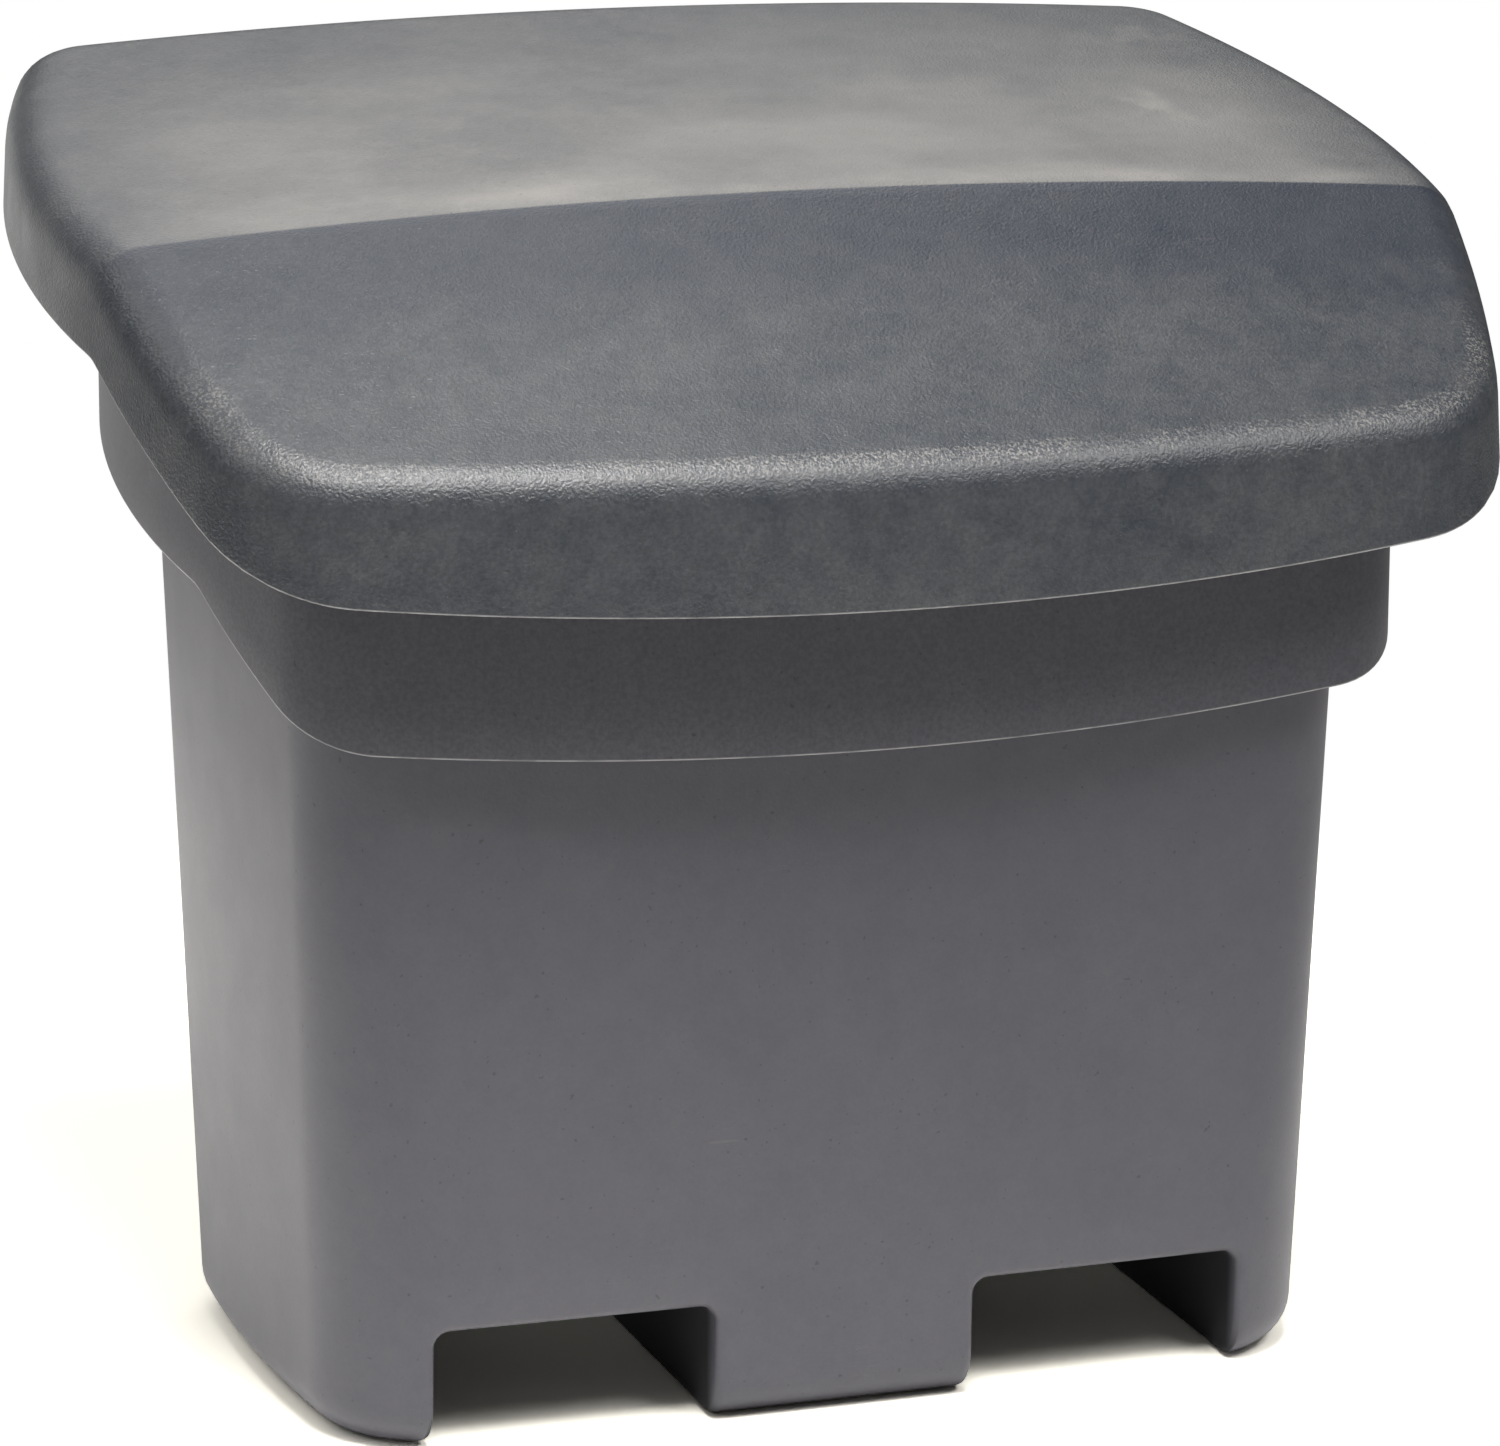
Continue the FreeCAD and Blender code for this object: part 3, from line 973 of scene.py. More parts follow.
    def section(self, growth: float, skin: Skin) -> Array:
        """Cross-section of the right channel's surface, grown away from the channel.

        Args:
            growth: how far the surface lies outside the channel.
            skin: which skin it belongs to.

        Returns:
            X and Z of its points, from the inner leg's foot over the roof to the outer's.
        """
        shoulder = self.channel_height - self.channel_corner
        heights = self.heights(skin)
        legs = heights[heights < shoulder + self.level_slack]
        reach = self.mouth_radius - skin.value
        drop = np.clip((self.mouth_radius - legs) / reach, 0.0, 1.0)
        spread = self.mouth_radius - (self.mouth_radius - growth) * np.sqrt(1 - drop ** 2)
        turns = np.linspace(0.0, math.pi / 2, self.arc_steps + 1)[1:]
        radius = self.channel_corner + growth
        half_width = self.channel_width / 2
        leg_x = -half_width - spread
        arc_x = -half_width + self.channel_corner - radius * np.cos(turns)
        arc_z = shoulder + radius * np.sin(turns)
        roof_x = np.linspace(arc_x[-1], -arc_x[-1], self.roof_columns + 1)[1:]
        roof_z = np.full(self.roof_columns, self.channel_height + growth)
        x = np.concatenate([leg_x, arc_x, roof_x, -arc_x[-2::-1], -leg_x[::-1]])
        z = np.concatenate([legs, arc_z, roof_z, arc_z[-2::-1], legs[::-1]])
        return np.column_stack([x + self.channel_inner + half_width, z])

    def faced(self, section: Array, skin: Skin, depth: float, rear: bool) -> Array:
        """A section placed at a depth inside the front or the rear wall.

        Args:
            section: X and Z of the section's points.
            skin: the skin that is meant.
            depth: how far inside the wall.
            rear: whether the rear is meant.

        Returns:
            The places in space.
        """
        y = np.zeros(len(section))
        for height in np.unique(section[:, 1]):
            row = section[:, 1] == height
            y[row] = self.curve(float(height), skin).y_at_x(section[row, 0], rear)
        y += -depth if rear else depth
        return np.column_stack([section[:, 0], y, section[:, 1]])

    def tunnel(self, skin: Skin) -> Array:
        """Places of the right channel's grid, ring by ring from the front mouth to the rear.

        Args:
            skin: the skin that is meant.

        Returns:
            The places, by row and column.
        """
        reach = self.mouth_radius - skin.value
        ends = []
        for rear in (False, True):
            flare = []
            for turn in np.linspace(0.0, math.pi / 2, self.flare_rows + 1):
                growth = self.mouth_radius - reach * math.sin(turn)
                depth = reach * (1 - math.cos(turn))
                flare.append(self.faced(self.section(growth, skin), skin, depth, rear))
            ends.append(flare)
        front, rear = ends[0], ends[1][::-1]
        return np.stack(front + between(front[-1], rear[0], self.tunnel_rows) + rear)

    def mouth_columns(self, right: bool, rear: bool) -> list[int]:
        """Columns across one mouth, from the middle outwards.

        Args:
            right: whether the right channel is meant.
            rear: whether the rear is meant.

        Returns:
            The columns.
        """
        loop = 2 * self.half_count
        columns = [self.half_count - c if rear else c
                   for c in range(self.foot_columns, len(self.pinned))]
        return columns if right else [(loop - c) % loop for c in columns]

    def hole(self, rows: list[Line], columns: list[int]) -> Line:
        """Vertices round one mouth in the order of a section, from rows in height order.

        Args:
            rows: the vertices, row by row.
            columns: the columns across the mouth.

        Returns:
            The vertices.
        """
        up = [row[columns[0]] for row in rows[:-1]]
        down = [row[columns[-1]] for row in rows[-2::-1]]
        return up + [rows[-1][c] for c in columns] + down

    def hole_faces(self, rows: list[Line], columns: list[int]) -> list[Corners]:
        """Corners of the faces that one mouth takes away."""
        return [(low[near], low[far], high[far], high[near])
                for near, far in zip(columns, columns[1:]) for low, high in zip(rows, rows[1:])]

    def make(self, material: Material) -> None:
        """Build the tub and dress it.

        Args:
            material: the material that it takes.
        """
        moulding = Moulding()
        tube = moulding.tube(*self.rings())
        count = len(self.heights(Skin.OUTER))
        lower = {Skin.OUTER: tube[:count], Skin.INNER: tube[:-count - 1:-1]}
        mouths = {(right, rear): self.mouth_columns(right, rear)
                  for right in (True, False) for rear in (False, True)}
        for skin, rows in lower.items():
            places = self.tunnel(skin)
            rims = {mouth: self.hole(rows, columns) for mouth, columns in mouths.items()}
            moulding.cut_faces([four for columns in mouths.values()
                                for four in self.hole_faces(rows, columns)])
            for right in (True, False):
                side = np.array([1.0 if right else -1.0, 1.0, 1.0])
                rings = moulding.grid(places * side)
                for rear, ring in ((False, rings[0]), (True, rings[-1])):
                    rim = rims[(right, rear)]
                    for kept, moved in zip(rim, ring):
                        kept.co = moved.co
                    moulding.weld(ring, rim)
        moulding.cap()
        moulding.finish("tub", Body.BIN, Slot.TUB, material)


@dataclass(frozen=True)
class HingeSizes:
    """Places and sizes that the two hinges and their fasteners share."""

    pivot_y: float = 341.2
    pivot_z: float = 913.34
    offset: float = 280.0
    plate: float = 3.0
    collar_rear: float = 304.2
    collar_inside: float = 298.2
    lid_rear: float = 377.5
    skirt_inside: float = 371.5
    bracket_low: float = 850.34
    bracket_bolt_x: float = 13.0
    bracket_bolt_rises: tuple[float, ...] = (16.0, 44.0)
    leaf_low: float = 906.34
    leaf_bolt_x: float = 33.0
    leaf_bolt_rises: tuple[float, ...] = (20.0,)
    leaf_spacing: float = 41.0
    ear_gap: float = 2.0
    bush_past: float = 1.8
    clip_gap: float = 0.4

    @property
    def ear_outer(self) -> float:
        """Distance from a hinge's middle to the outer face of a bracket's ear."""
        return self.leaf_spacing / 2 + 2 * self.plate + self.ear_gap

    def bolt_axes(self, across: float, low: float, rises: tuple[float, ...]) -> list[Axis]:
        """Axes along Y of the bolts of both hinges, at heights over a plate's lower edge."""
        along = np.array([0.0, 1.0, 0.0])
        return [(np.array([side * self.offset + step * across, 0.0, low + rise]), along)
                for side in (-1, 1) for step in (-1, 1) for rise in rises]


def mirrored(low: float, high: float, half: Profile) -> Profile:
    """A profile that looks the same from both its ends, which lie at `low` and `high`."""
    return ([(low + depth, *rest) for depth, *rest in half]
            + [(high - depth, *rest) for depth, *rest in half[::-1]])


@dataclass(frozen=True)
class Turned:
    """Turned or hexagonal solids with one profile, each round an axis of its own.

    A profile is a list of steps: how far along the axis, the radius there, the distance from the
    axis to the flats where the piece is hexagonal, and the radius at the slots of a clip.
    """

    axes: list[Axis]
    profile: Profile
    bored: bool = True
    points: int = 48
    slot_every: int = 8

    def ring(self, axis: Axis, distance: float, radius: float, flats: float | None = None,
             notch: float | None = None) -> Array:
        """Points of one step of the profile.

        Args:
            axis: the place and the direction of the axis.
            distance: how far along the axis.
            radius: its radius.
            flats: distance to the flats of a hexagon that limits it.
            notch: radius at the slots.

        Returns:
            Its points.
        """
        place, along = axis
        angles = np.arange(self.points) * 2 * math.pi / self.points
        radii = np.full(self.points, radius)
        if flats is not None:
            turns = (angles + math.pi / 6) % (math.pi / 3) - math.pi / 6
            radii = np.minimum(radii, flats / np.cos(turns))
        if notch is not None:
            radii[::self.slot_every] = notch
        first = np.array([0.0, 0.0, 1.0])
        second = np.cross(along, first)
        spokes = np.cos(angles)[:, None] * first + np.sin(angles)[:, None] * second
        return place + along * distance + spokes * radii[:, None]

    def make(self, name: str, body: Body, material: Material, slot: Slot = Slot.FASTENER) -> None:
        """Build the solids as one piece: capped, or with the profile brought back to its start.

        Args:
            name: the piece's name.
            body: the body that it rides on.
            material: the material that it takes.
            slot: the slot that is passed on to Moulding.finish.
        """
        moulding = Moulding()
        for axis in self.axes:
            steps = self.profile + self.profile[:1] if self.bored else self.profile
            rows = moulding.tube([self.ring(axis, *step) for step in steps])
            if self.bored:
                moulding.weld(rows[-1], rows[0])
        if not self.bored:
            moulding.cap()
        moulding.finish(name, body, slot, material, crisp=True)


@dataclass(frozen=True)
class Fasteners:
    """Bolts, washers and nuts of one bolted joint; each share is a part of the bolt's radius."""

    name: str
    body: Body
    axes: list[Axis]
    radius: float
    pitch: float
    seat: float
    backing: float
    domed: bool
    washer: float = 1.6
    washer_share: float = 2.0
    washer_slack: float = 0.3
    tail: float = 3.0
    point: float = 0.9
    thread_share: float = 0.6
    run_out: float = 1.0
    flats_share: float = 1.6
    nut_share: float = 1.6
    nut_slack: float = 0.05
    head_share: float = 1.3
    dome_shares: Pair = (1.1, 1.9)
    dome_turn: float = 0.48 * math.pi
    dome_rim: float = 0.2
    ease: float = 0.3
    bore_ease: float = 0.6
    chamfer: float = 0.8
    head_ease: float = 0.5

    @property
    def washer_front(self) -> float:
        """Y of the washers' front faces."""
        return self.backing - self.washer

    @property
    def nut_front(self) -> float:
        """Y of the nuts' front faces."""
        return self.washer_front - self.nut_share * self.radius

    @property
    def hexagon(self) -> Pair:
        """Distances from the axis to the flats and to the corners of a nut or a head."""
        flats = self.flats_share * self.radius
        return flats, flats / math.cos(math.pi / 6)

    def head(self) -> Profile:
        """Profile of a bolt's head, from its seat outwards.

        Returns:
            The profile.
        """
        seat, rim = self.seat, self.dome_rim
        if self.domed:
            height, radius = (share * self.radius for share in self.dome_shares)
            turns = np.linspace(0.0, self.dome_turn, 8)
            dome = [(seat + height * (rim + (1 - rim) * math.sin(turn)), radius * math.cos(turn))
                    for turn in turns]
            return [(seat, radius - rim), (seat + rim, radius)] + dome
        flats, corner = self.hexagon
        top = seat + self.head_share * self.radius
        return [(seat, flats, flats), (seat + self.ease, corner, flats),
                (top - self.chamfer, corner, flats), (top, flats - self.head_ease, flats)]

    def bolt(self) -> Profile:
        """Profile of a bolt: its tail, the thread up to the wall, the shank and the head.

        Returns:
            The profile.
        """
        tail = self.nut_front - self.tail
        root = self.radius - self.thread_share * self.pitch
        thread, crest = [], tail + self.point
        while crest < self.backing + self.run_out:
            thread += [(crest, self.radius), (crest + self.pitch / 2, root)]
            crest += self.pitch
        shank = [(crest, self.radius), (self.seat, self.radius)]
        return [(tail, self.radius - self.point)] + thread + shank + self.head()

    def build(self, material: Material) -> None:
        """Make the bolts, the washers and the nuts.

        Args:
            material: the material that it takes.
        """
        ease, bore_ease, bore = self.ease, self.bore_ease, self.radius + self.nut_slack
        outer, hole = self.washer_share * self.radius, self.radius + self.washer_slack
        flats, corner = self.hexagon
        washer = [(0.0, hole), (0.0, outer - ease), (ease, outer)]
        nut = [(bore_ease, bore), (0.0, bore + bore_ease), (0.0, flats - ease, flats),
               (self.chamfer, corner, flats)]
        for kind, profile in (("bolts", self.bolt()),
                              ("washers", mirrored(self.washer_front, self.backing, washer)),
                              ("nuts", mirrored(self.nut_front, self.washer_front, nut))):
            turned = Turned(self.axes, profile, bored=kind != "bolts")
            turned.make(f"{self.name}_{kind}", self.body, material)


class Face(Enum):
    """Faces of a hinge that its turned pieces are measured from, along the axis."""

    LEAF_INNER = 0
    LEAF_OUTER = 1
    BUSH_END = 2
    EAR = 3
    CLIP = 4
    TAIL = 5


@dataclass(frozen=True)
class Hinge:
    """One hinge: bracket, leaf, backing plates, bushes, pin and clip.

    The steps of its turned pieces are a face, a depth beyond it and a radius, and where the clip's
    teeth are slotted also the radius of the slots.
    """

    side: int
    sizes: HingeSizes
    pin: tuple[tuple, ...] = (
        (Face.TAIL, -7.2, 3.1), (Face.TAIL, -6.3, 4.0), (Face.TAIL, -1.7, 4.0),
        (Face.TAIL, -1.5, 3.65), (Face.TAIL, -1.2, 3.65), (Face.TAIL, -1.2, 4.0),
        (Face.EAR, 0.0, 4.0), (Face.EAR, 0.0, 6.8), (Face.EAR, 0.2, 7.0), (Face.EAR, 1.7, 7.0),
        (Face.EAR, 2.3, 6.75), (Face.EAR, 2.75, 6.1), (Face.EAR, 3.0, 5.0))
    clip: tuple[tuple, ...] = (
        (Face.CLIP, 0.0, 5.9), (Face.CLIP, 0.0, 7.8), (Face.CLIP, 0.2, 8.0), (Face.CLIP, 0.7, 8.0),
        (Face.CLIP, 0.85, 7.8), (Face.CLIP, 0.85, 6.3), (Face.CLIP, 1.2, 4.32, None, 5.9),
        (Face.CLIP, 0.9, 4.02, None, 5.9))
    bush: tuple[tuple, ...] = (
        (Face.LEAF_INNER, 0.0, 4.35), (Face.LEAF_INNER, 0.0, 5.35), (Face.LEAF_INNER, 0.2, 5.55),
        (Face.LEAF_OUTER, 0.0, 5.55), (Face.LEAF_OUTER, 0.0, 7.7), (Face.LEAF_OUTER, 0.3, 8.0),
        (Face.BUSH_END, -0.5, 8.0), (Face.BUSH_END, -0.15, 7.85), (Face.BUSH_END, 0.0, 7.5),
        (Face.BUSH_END, 0.0, 4.35), (Face.BUSH_END, -0.3, 4.05), (Face.LEAF_INNER, 0.3, 4.05))
    merging: float = 0.001
    flat_angle: float = 1.0
    cut_angle: float = 32.0
    plate_edge: float = 0.5

    @property
    def name(self) -> str:
        """Left or right."""
        return "left" if self.side < 0 else "right"

    def turned(self, node: str, steps: tuple[tuple, ...], ways: tuple[int, ...], body: Body,
               material: Material, slot: Slot = Slot.FASTENER, bored: bool = True) -> None:
        """Make a turned piece on the hinge's axis, once for each way that it points.

        Args:
            node: the piece's name without its side.
            steps: the steps of its profile, each from a face.
            ways: the ways along X that it points.
            body: the body that it rides on.
            material: the material that it takes.
            slot: the slot that is passed on to Turned.make.
            bored: whether it has a bore.
        """
        sizes = self.sizes
        leaf = sizes.leaf_spacing / 2
        clip = sizes.ear_outer + sizes.clip_gap
        faces = (leaf, leaf + sizes.plate, leaf + sizes.plate + sizes.bush_past, sizes.ear_outer,
                 clip, -clip)
        profile = [(faces[face.value] + depth, *radii) for face, depth, *radii in steps]
        place = np.array([self.side * sizes.offset, sizes.pivot_y, sizes.pivot_z])
        axes = [(place, np.array([float(way), 0.0, 0.0])) for way in ways]
        Turned(axes, profile, bored).make(f"{node}_{self.name}", body, material, slot)

    def pressed(self, node: str, body: Body, material: Material) -> None:
        """A plate, bracket or leaf with the frame's own shape and its cut edges eased.

        Args:
            node: the piece's name without its side.
            body: the body that it rides on.
            material: its material.
        """
        name = f"{node}_{self.name}"
        moulding = Moulding()
        mesh = moulding.mesh
        mesh.from_mesh(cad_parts[name].data)
        bmesh.ops.scale(mesh, vec=Vector((1 / METRES,) * 3), verts=mesh.verts)
        bmesh.ops.remove_doubles(mesh, verts=mesh.verts, dist=self.merging)
        bmesh.ops.dissolve_limit(mesh, angle_limit=math.radians(self.flat_angle), verts=mesh.verts,
                                 edges=mesh.edges)
        cut = [edge for edge in mesh.edges
               if edge.is_manifold and edge.calc_face_angle() > math.radians(self.cut_angle)]
        bmesh.ops.bevel(mesh, geom=cut, offset=self.plate_edge, offset_type="OFFSET", segments=2,
                        profile=0.5, affect="EDGES", material=-1, clamp_overlap=True)
        moulding.finish(name, body, Slot.PLATE, material, crisp=True)

    def build(self, plate: Material, turned: Material, nylon: Material) -> None:
        """Make every piece of the hinge.

        Args:
            plate: material of the plates.
            turned: material of the pin and the clip.
            nylon: material of the bushes.
        """
        for node, body in (("hinge_bracket", Body.BIN), ("collar_backing_plate", Body.BIN),
                           ("hinge_leaf", Body.LID), ("lid_backing_plate", Body.LID)):
            self.pressed(node, body, plate)
        self.turned("hinge_pin", self.pin, (self.side,), Body.BIN, turned, bored=False)
        self.turned("pin_clip", self.clip, (-self.side,), Body.BIN, turned)
        self.turned("hinge_bushes", self.bush, (-1, 1), Body.LID, nylon, Slot.NYLON)


@dataclass(frozen=True)
class View:
    """Camera whose picture lines up with the photograph's framing."""

    yaw: float = -0.3336
    pitch: float = 0.2242
    roll: float = -0.0051
    target: Triple = (0.0, -0.0953, 0.54436)
    distance: float = 4.91468
    focal_pixels: float = 6500.0
    centre_x: float = 789.75
    centre_y: float = 670.3
    image_width: float = 1500.0
    image_height: float = 1446.0
    sensor: float = 36.0
    clip_end: float = 100.0

    def place(self) -> None:
        """Add the camera and make it the scene's own."""
        data = bpy.data.cameras.new("view")
        camera = link("view", data)
        level = math.cos(self.pitch)
        forward = Vector((-math.sin(self.yaw) * level, math.cos(self.yaw) * level,
                          -math.sin(self.pitch)))
        back = -forward
        right = Vector((0.0, 0.0, 1.0)).cross(back).normalized()
        turned = Matrix((right, back.cross(right), back)).transposed().to_4x4()
        place = Matrix.Translation(Vector(self.target) - forward * self.distance)
        camera.matrix_world = place @ turned @ Matrix.Rotation(-self.roll, 4, "Z")
        data.sensor_width = self.sensor
        data.lens = self.focal_pixels * self.sensor / self.image_width
        data.shift_x = (self.image_width / 2 - self.centre_x) / self.image_width
        data.shift_y = (self.centre_y - self.image_height / 2) / self.image_width
        data.clip_end = self.clip_end
        bpy.context.scene.camera = camera


@dataclass(frozen=True)
class Patches:
    """Noise of `size` millimetres that fades from `low` to `high` between two of its levels."""

    size: float
    detail: float
    rough: float
    start: float
    end: float
    low: float = 0.0
    high: float = 1.0
    stretch: Triple | None = None


@dataclass(frozen=True)
class Band:
    """Stretch in millimetres over which a value fades from `low` to `high`."""

    start: float
    end: float
    low: float = 0.0
    high: float = 1.0


@dataclass(frozen=True)
class Signal:
    """Output of a shader node, whose arithmetic adds nodes to its graph."""

    graph: "Graph"
    socket: NodeSocket | None

    def __add__(self, other: "Signal | float") -> "Signal":
        """Sum."""
        return self.graph.math("ADD", self, other)

    def __sub__(self, other: "Signal | float") -> "Signal":
        """Difference."""
        return self.graph.math("SUBTRACT", self, other)

    def __mul__(self, other: "Signal | float") -> "Signal":
        """Product."""
        return self.graph.math("MULTIPLY", self, other)

    def __abs__(self) -> "Signal":
        """Size without its sign."""
        return self.graph.math("ABSOLUTE", self, 0.0)

    def fade(self, start: float, end: float, low: float = 0.0, high: float = 1.0) -> "Signal":
        """Smooth step from `low` to `high` as the value goes from `start` to `end`."""
        inputs = {"Value": self, "From Min": start, "From Max": end, "To Min": low, "To Max": high}
        return self.graph.out("ShaderNodeMapRange", inputs, interpolation_type="SMOOTHSTEP")

    def across(self, band: Band, origin: float = 0.0) -> "Signal":
        """Fade of a place over a band that is measured from `origin`, in millimetres."""
        start, end = (origin + band.start) * METRES, (origin + band.end) * METRES
        return self.fade(start, end, band.low, band.high)


class Graph:
    """Shader nodes of one material or world, added and joined in the order of use."""

    def __init__(self, owner: Material | World) -> None:
        """Start with no nodes.

        Args:
            owner: the material or world.
        """
        self.owner = owner
        owner.use_nodes = True
        self.tree = owner.node_tree
        self.tree.nodes.clear()

    def out(self, kind: str, inputs: dict | None = None, output: int | str = 0,
            **settings: object) -> Signal:
        """Add a node, set its properties, and join or fill its inputs.

        Args:
            kind: the node's type.
            inputs: a signal or a value for each named or numbered input.
            output: the output that is wanted.
            settings: the node's own properties.

        Returns:
            The output.
        """
        node = self.tree.nodes.new(kind)
        for name, value in settings.items():
            setattr(node, name, value)
        for key, value in (inputs or {}).items():
            if isinstance(value, Signal):
                self.tree.links.new(value.socket, node.inputs[key])
            else:
                node.inputs[key].default_value = value
        return Signal(self, node.outputs[output] if node.outputs else None)

    @cached_property
    def at(self) -> Signal:
        """Place on the piece, in metres."""
        return self.out("ShaderNodeTexCoord", output="Object")

    @cached_property
    def up(self) -> Signal:
        """How far the face looks up."""
        return self.axis("Z", self.out("ShaderNodeTexCoord", output="Normal"))

    def axis(self, name: str, vector: Signal | None = None) -> Signal:
        """One component of the place, or of another vector."""
        return self.out("ShaderNodeSeparateXYZ", {0: vector or self.at}, name)

    def noise(self, size: float, detail: float, rough: float,
              stretch: Triple | None = None) -> Signal:
        """Noise between 0 and 1 whose patches measure `size` millimetres, stretched if asked.

        Args:
            size: size of the patches.
            detail: how many finer layers it has.
            rough: how strong they are.
            stretch: scale of each axis.

        Returns:
            The noise.
        """
        place = self.at
        if stretch:
            place = self.out("ShaderNodeMapping", {"Vector": place, "Scale": stretch})
        return self.out("ShaderNodeTexNoise", {
            "Vector": place, "Scale": 1.0 / (size * METRES), "Detail": detail, "Roughness": rough})

    def patches(self, look: Patches) -> Signal:
        """Share of patches of one look."""
        noise = self.noise(look.size, look.detail, look.rough, look.stretch)
        return noise.fade(look.start, look.end, look.low, look.high)

    def math(self, operation: str, a: Signal | float, b: Signal | float) -> Signal:
        """One sum of two values."""
        return self.out("ShaderNodeMath", {0: a, 1: b}, operation=operation)

    def mix(self, share: Signal, a: Signal | Colour, b: Signal | Colour) -> Signal:
        """Mix of two colours."""
        return self.out("ShaderNodeMix", {0: share, 6: a, 7: b}, 2, data_type="RGBA")

    def bump(self, height: Signal, depth: float, normal: Signal | None = None) -> Signal:
        """Normal bent by a relief whose full height measures `depth` millimetres."""
        inputs = {"Height": height, "Distance": depth * METRES}
        return self.out("ShaderNodeBump", inputs | ({"Normal": normal} if normal else {}))

    def finish(self, inputs: dict) -> Material:
        """Close the material with its surface shader.

        Args:
            inputs: the shader's inputs.

        Returns:
            The material.
        """
        shader = self.out("ShaderNodeBsdfPrincipled", inputs)
        self.out("ShaderNodeOutputMaterial", {"Surface": shader})
        return self.owner


@dataclass(frozen=True)
class MouldedPlastic:
    """Rotomoulded polyethylene: pebbled, mottled, dusty on its flats, with painted highlights at
    its lips, worn.
    """

    name: str
    base: Colour
    pale: Colour
    # Pale colour of dust, flecks, scratches and the lid's ridge specks, also used for the lid's
    # painted sheen behind its fold.
    dust_and_sheen: Colour = (0.30, 0.288, 0.27, 1.0)
    # Colour of the painted highlight on the lips.
    lip_highlight_colour: Colour = (0.36, 0.36, 0.36, 1.0)
    # Colour of the dark pits, and of the painted shade inside the tub's fork channels.
    pit_and_channel_shade: Colour = (0.004, 0.0038, 0.005, 1.0)
    mottling: tuple[tuple[Patches, float], ...] = (
        (Patches(150.0, 3.0, 0.6, 0.3, 0.7), 0.35), (Patches(42.0, 4.0, 0.65, 0.36, 0.64), 0.3),
        (Patches(14.0, 5.0, 0.7, 0.35, 0.68), 0.35))
    speckles: Patches = Patches(3.4, 3.0, 0.65, 0.3, 0.7)
    speckle_share: float = 0.12
    flat: Pair = (0.8, 0.985)
    drifts: Patches = Patches(110.0, 5.0, 0.6, 0.28, 0.72, 0.55, 1.15, (0.55, 1.0, 1.0))
    dust_and_sheen_amount: float = 0.1
    dust_and_sheen_roughness: float = 0.4
    flecks: Patches = Patches(1.9, 2.0, 0.6, 0.66, 0.73)
    fleck_places: Patches = Patches(45.0, 3.0, 0.5, 0.42, 0.65, 0.1, 1.0)
    fleck_share: float = 0.25
    pits: Patches = Patches(4.5, 1.0, 0.5, 0.27, 0.22)
    pit_share: float = 0.35
    hair_size: float = 3.0
    hair_stretch: Triple = (0.03, 0.05, 1.0)
    hair_width: float = 0.006
    scuffs: Patches = Patches(70.0, 2.0, 0.5, 0.62, 0.72)
    scratch_share: float = 0.12
    scratch_depth: float = -0.03
    lip_highlight_patches: Patches = Patches(25.0, 4.0, 0.5, 0.3, 0.6, 0.35, 0.9)
    roughness: float = 0.44
    sheen: Patches = Patches(60.0, 3.0, 0.5, 0.3, 0.7, -0.012, 0.012)
    shine: float = 0.4
    pebble_size: float = 2.6
    pebble_height: float = 0.11
    grain_size: float = 0.8
    grain_height: float = 0.035

    def shading(self, graph: Graph) -> tuple[Signal | float, Signal | float]:
        """Share of speckles, and the brightness that a painted shade lowers, which is none here."""
        return self.speckle_share, 1.0

    def mottled(self, graph: Graph) -> Signal:
        """Base colour in large patches, small patches and speckles, darkened where the piece has
        painted shade.

        Args:
            graph: the material's nodes.

        Returns:
            The colour.
        """
        broad, middle, fine = (graph.patches(look) * share for look, share in self.mottling)
        colour = graph.mix(broad + middle + fine, self.base, self.pale)
        amount, shade = self.shading(graph)
        factor = (graph.patches(self.speckles) - 0.5) * amount + shade
        return graph.out("ShaderNodeVectorMath", {0: colour, "Scale": factor}, operation="SCALE")

    def dust_and_sheen_share(self, graph: Graph) -> Signal:
        """Share of dust, which lies where the face looks up; the lid adds a painted sheen to it."""
        return graph.up.fade(*self.flat) * graph.patches(self.drifts)

    def specked(self, graph: Graph, colour: Signal) -> Signal:
        """The colour with the piece's own pale specks, which are none here."""
        return colour

    def with_painted_shade(self, graph: Graph, colour: Signal, roughness: Signal) -> tuple[Signal, Signal]:
        """Colour and roughness with the piece's own painted shade, which is none here."""
        return colour, roughness

    def make(self) -> Material:
        """Build the material.

        Returns:
            The material.
        """
        graph = Graph(bpy.data.materials.new(self.name))
        # Dust, and on the lid a painted sheen just behind the fold, both in the pale dust colour.
        dust_and_sheen = self.dust_and_sheen_share(graph) * self.dust_and_sheen_amount
        colour = graph.mix(dust_and_sheen, self.mottled(graph), self.dust_and_sheen)
        flecks = graph.patches(self.flecks) * graph.patches(self.fleck_places) * self.fleck_share
        colour = self.specked(graph, graph.mix(flecks, colour, self.dust_and_sheen))
        colour = graph.mix(graph.patches(self.pits) * self.pit_share, colour, self.pit_and_channel_shade)
        hair = abs(graph.noise(self.hair_size, 1.0, 0.4, self.hair_stretch) - 0.5)
        scratch = hair.fade(0.0, self.hair_width, 1.0, 0.0) * graph.patches(self.scuffs)
        colour = graph.mix(scratch * self.scratch_share, colour, self.dust_and_sheen)
